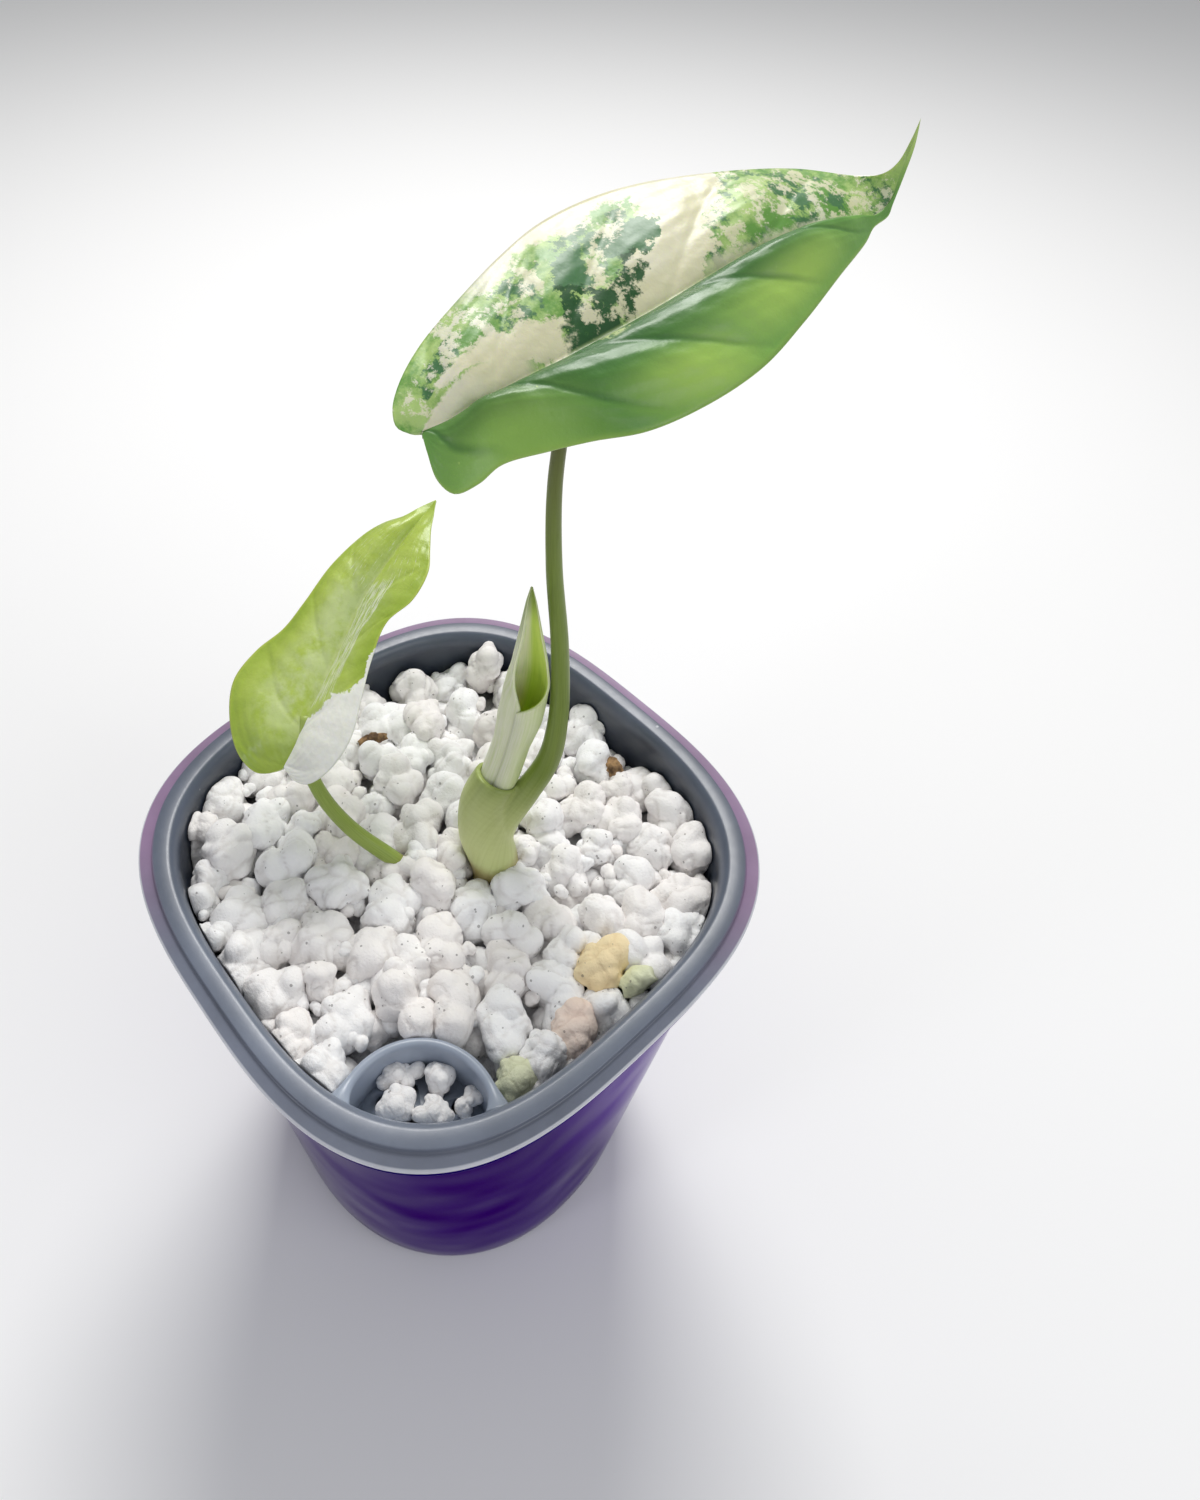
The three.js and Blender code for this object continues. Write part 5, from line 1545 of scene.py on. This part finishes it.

# %% [markdown]
# A stalk is olive green with fine lengthwise stripes. The angle round the stalk, stretched many
# times, drives a noise that hardly changes along it. The sheath at its foot is painted paler, as
# painted light that comes through it, and a brown scar shows where it leaves the perlite.
# %% Stalk material
def stalk_material(name, foot_painted_glow, green, high_colour, low_end, high_start):
    made, tree, shader = new_material(
        name, Roughness=0.4, IOR=1.42, Coat_Weight=0.12, Coat_Roughness=0.3,
        Subsurface_Weight=0.15, Subsurface_Radius=(0.8, 1.0, 0.4), Subsurface_Scale=0.0015,
    )
    along, angle = attribute(tree, "along"), attribute(tree, "round")
    round_place = point(tree, maths("COSINE", angle) * 5.0, maths("SINE", angle) * 5.0, along * 4.0)
    stripes = noise(round_place, 2.2, 4, 0.6)
    mottle, specks, _ = surface(tree, 190, 0.08)
    # The foot is painted paler, as painted light that comes through the sheath.
    colour = mix(span(along, 0.02, low_end), foot_painted_glow, green)
    colour = mix(span(along, high_start, 1.0), colour, high_colour)
    striped = span(stripes, 0.4, 0.7, 0.0, 0.7) * span(along, 0.0, 0.3, 0.3, 1.0)
    height = parts_of(object_place(tree))[2] + mottle * 0.004
    colour = layered(colour, (
        (striped, shaded(colour, (0.7, 0.72, 0.55))),
        (specks * 0.4, rgb(196, 206, 140)),
        (falling(height, 0.0955, 0.0985) * 0.6, rgb(140, 100, 50))))
    colour.feeds(shader, "Base Color")
    relief(shader, stripes, 0.05, 0.5)
    return made


dress(petiole_large, stalk_material(
    "olive stalk", rgb(206, 214, 148), rgb(120, 140, 52), rgb(90, 88, 44), 0.22, 0.6))
dress(petiole_small, stalk_material(
    "green stalk", rgb(160, 176, 92), rgb(150, 170, 80), rgb(168, 186, 96), 0.2, 0.8))
for piece, name in ((petiole_large, "petiole_large"), (petiole_small, "petiole_small")):
    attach(piece, "root")
    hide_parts(name)
print("stalks painted")

# %% [markdown]
# The new leaf is a blade still rolled round itself. Cutting a scoop from a solid would leave a thick
# lip, so the roll is built as a C-shaped section that opens as it climbs: closed and overlapping at
# the bottom, half open at the throat, and drawn to a point at the tip.
# %% New leaf
THROAT_FACING = math.radians(-52)
THROAT_LOW, THROAT_RIGHT_FULL, THROAT_LEFT_FULL = 0.50, 0.60, 0.66
THROAT_RIGHT, THROAT_LEFT, OVERLAP, TUCK = 104, 66, 14, 0.65
ROLL_THICKNESS = 0.5
ROLL_STEPS, ROLL_POINTS = 150, 56


def build_new_leaf():
    centre, along, radius = stalk_route(NEW_LEAF, NEW_LEAF_RADII, ROLL_STEPS)
    front = crossways(along, np.array([math.cos(THROAT_FACING), math.sin(THROAT_FACING), 0]))
    right = np.cross(along, front)
    rings, side_value, inside_value, climb = [], [], [], []
    for i, share in enumerate(np.linspace(0, 1, ROLL_STEPS + 1)):
        right_lip = math.radians(THROAT_RIGHT * float(smooth(THROAT_LOW, THROAT_RIGHT_FULL, share)) - OVERLAP)
        left_lip = math.radians(THROAT_LEFT * float(smooth(THROAT_LOW, THROAT_LEFT_FULL, share)))
        thick = min(ROLL_THICKNESS, 0.25 * radius[i])
        angle = np.linspace(right_lip, 2 * math.pi - left_lip, ROLL_POINTS)
        # One lip curls outwards where the throat is open.
        flare = 1 + 0.1 * float(smooth(THROAT_LOW, 0.6, share)) * np.exp(-((angle - right_lip) / 0.5) ** 2)
        # The other lip tucks in behind it.
        last = angle[-1]
        tucked = min(TUCK, 0.3 * radius[i]) * smooth(last - 0.9, last - 0.35, angle)
        # Where the roll is shut, the outer lip thins out and lies down flat.
        shut = 1 - float(smooth(THROAT_LOW - 0.03, THROAT_LOW + 0.04, share))
        lying = shut * (1 - smooth(0, 0.7, angle - right_lip))
        outer = radius[i] * flare - tucked - 0.75 * tucked.max() * lying
        ring = []
        for reach, order in ((outer, 1), (outer - thick * (1 - 0.75 * lying), -1)):
            offset = np.outer(reach * np.cos(angle), front[i]) + np.outer(reach * np.sin(angle), right[i])
            ring.append((centre[i] + offset)[::order])
            side_value.append(np.sin(angle)[::order])
            inside_value.append(np.full(ROLL_POINTS, 0.0 if order == 1 else 1.0))
            climb.append(np.full(ROLL_POINTS, share))
        rings.append(np.vstack(ring))
    points, faces = loft(rings)
    ends = [0.0, 0.0]
    values = {
        "side": np.concatenate(side_value + [ends]),
        "inside": np.concatenate(inside_value + [ends]),
        "climb": np.concatenate(climb + [[0.0, 1.0]]),
    }
    return tidy(new_piece("leaf_new_roll", points, faces, values), 0.002)


def new_leaf_material():
    made, tree, shader = new_material(
        "young leaf", Roughness=0.42, IOR=1.42, Coat_Weight=0.1, Coat_Roughness=0.3,
        Subsurface_Weight=0.25, Subsurface_Radius=(0.9, 1.0, 0.5), Subsurface_Scale=0.0015,
    )
    side, inside, climb = (attribute(tree, name) for name in ("side", "inside", "climb"))
    _, _, fine = surface(tree, 160, 0.06)
    streaks = noise(point(tree, side * 7.0, climb * 3.0, inside), 2.0, 4, 0.6)
    outer = layered(mix(span(streaks, 0.25, 0.8), rgb(236, 238, 212), rgb(216, 226, 172)), (
        (span(side, 0.0, 0.9, 0.0, 0.5), rgb(184, 206, 118)),
        (span(climb, 0.66, 0.95), rgb(142, 160, 96))))
    # Inside, the roll goes from beige to yellow-green; the yellow-green is its own colour, brightened as a
    # painted glow of light coming through the roll.
    inner = layered(mix(span(side, -0.35, 0.25), rgb(236, 236, 212), rgb(212, 236, 112)), (
        (span(climb, 0.8, 0.98), rgb(122, 142, 74)),
        (span(streaks, 0.45, 0.7) * 0.3, rgb(160, 204, 70))))
    lip = span(inside, 0.2, 0.5) * falling(inside, 0.5, 0.8)
    mix(lip, mix(inside, outer, inner), rgb(232, 238, 196)).feeds(shader, "Base Color")
    relief(shader, streaks + fine * 0.3, 0.04, 0.4)
    return made


new_leaf = build_new_leaf()
dress(new_leaf, new_leaf_material())
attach(new_leaf, "root")
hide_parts("leaf_new")
print("new leaf faces:", len(new_leaf.data.polygons))

# %% [markdown]
# The finished look has to keep inside the solid model's box, so both boxes are printed, to compare.
# %% Sizes and the end
visual_low, visual_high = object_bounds()
sizes = {
    "cad": [list(cad_low), list(cad_high)],
    "visual": [list(visual_low), list(visual_high)],
}
for label, (low, high) in sizes.items():
    print(label, [round(1000 * value, 2) for value in low], [round(1000 * value, 2) for value in high])
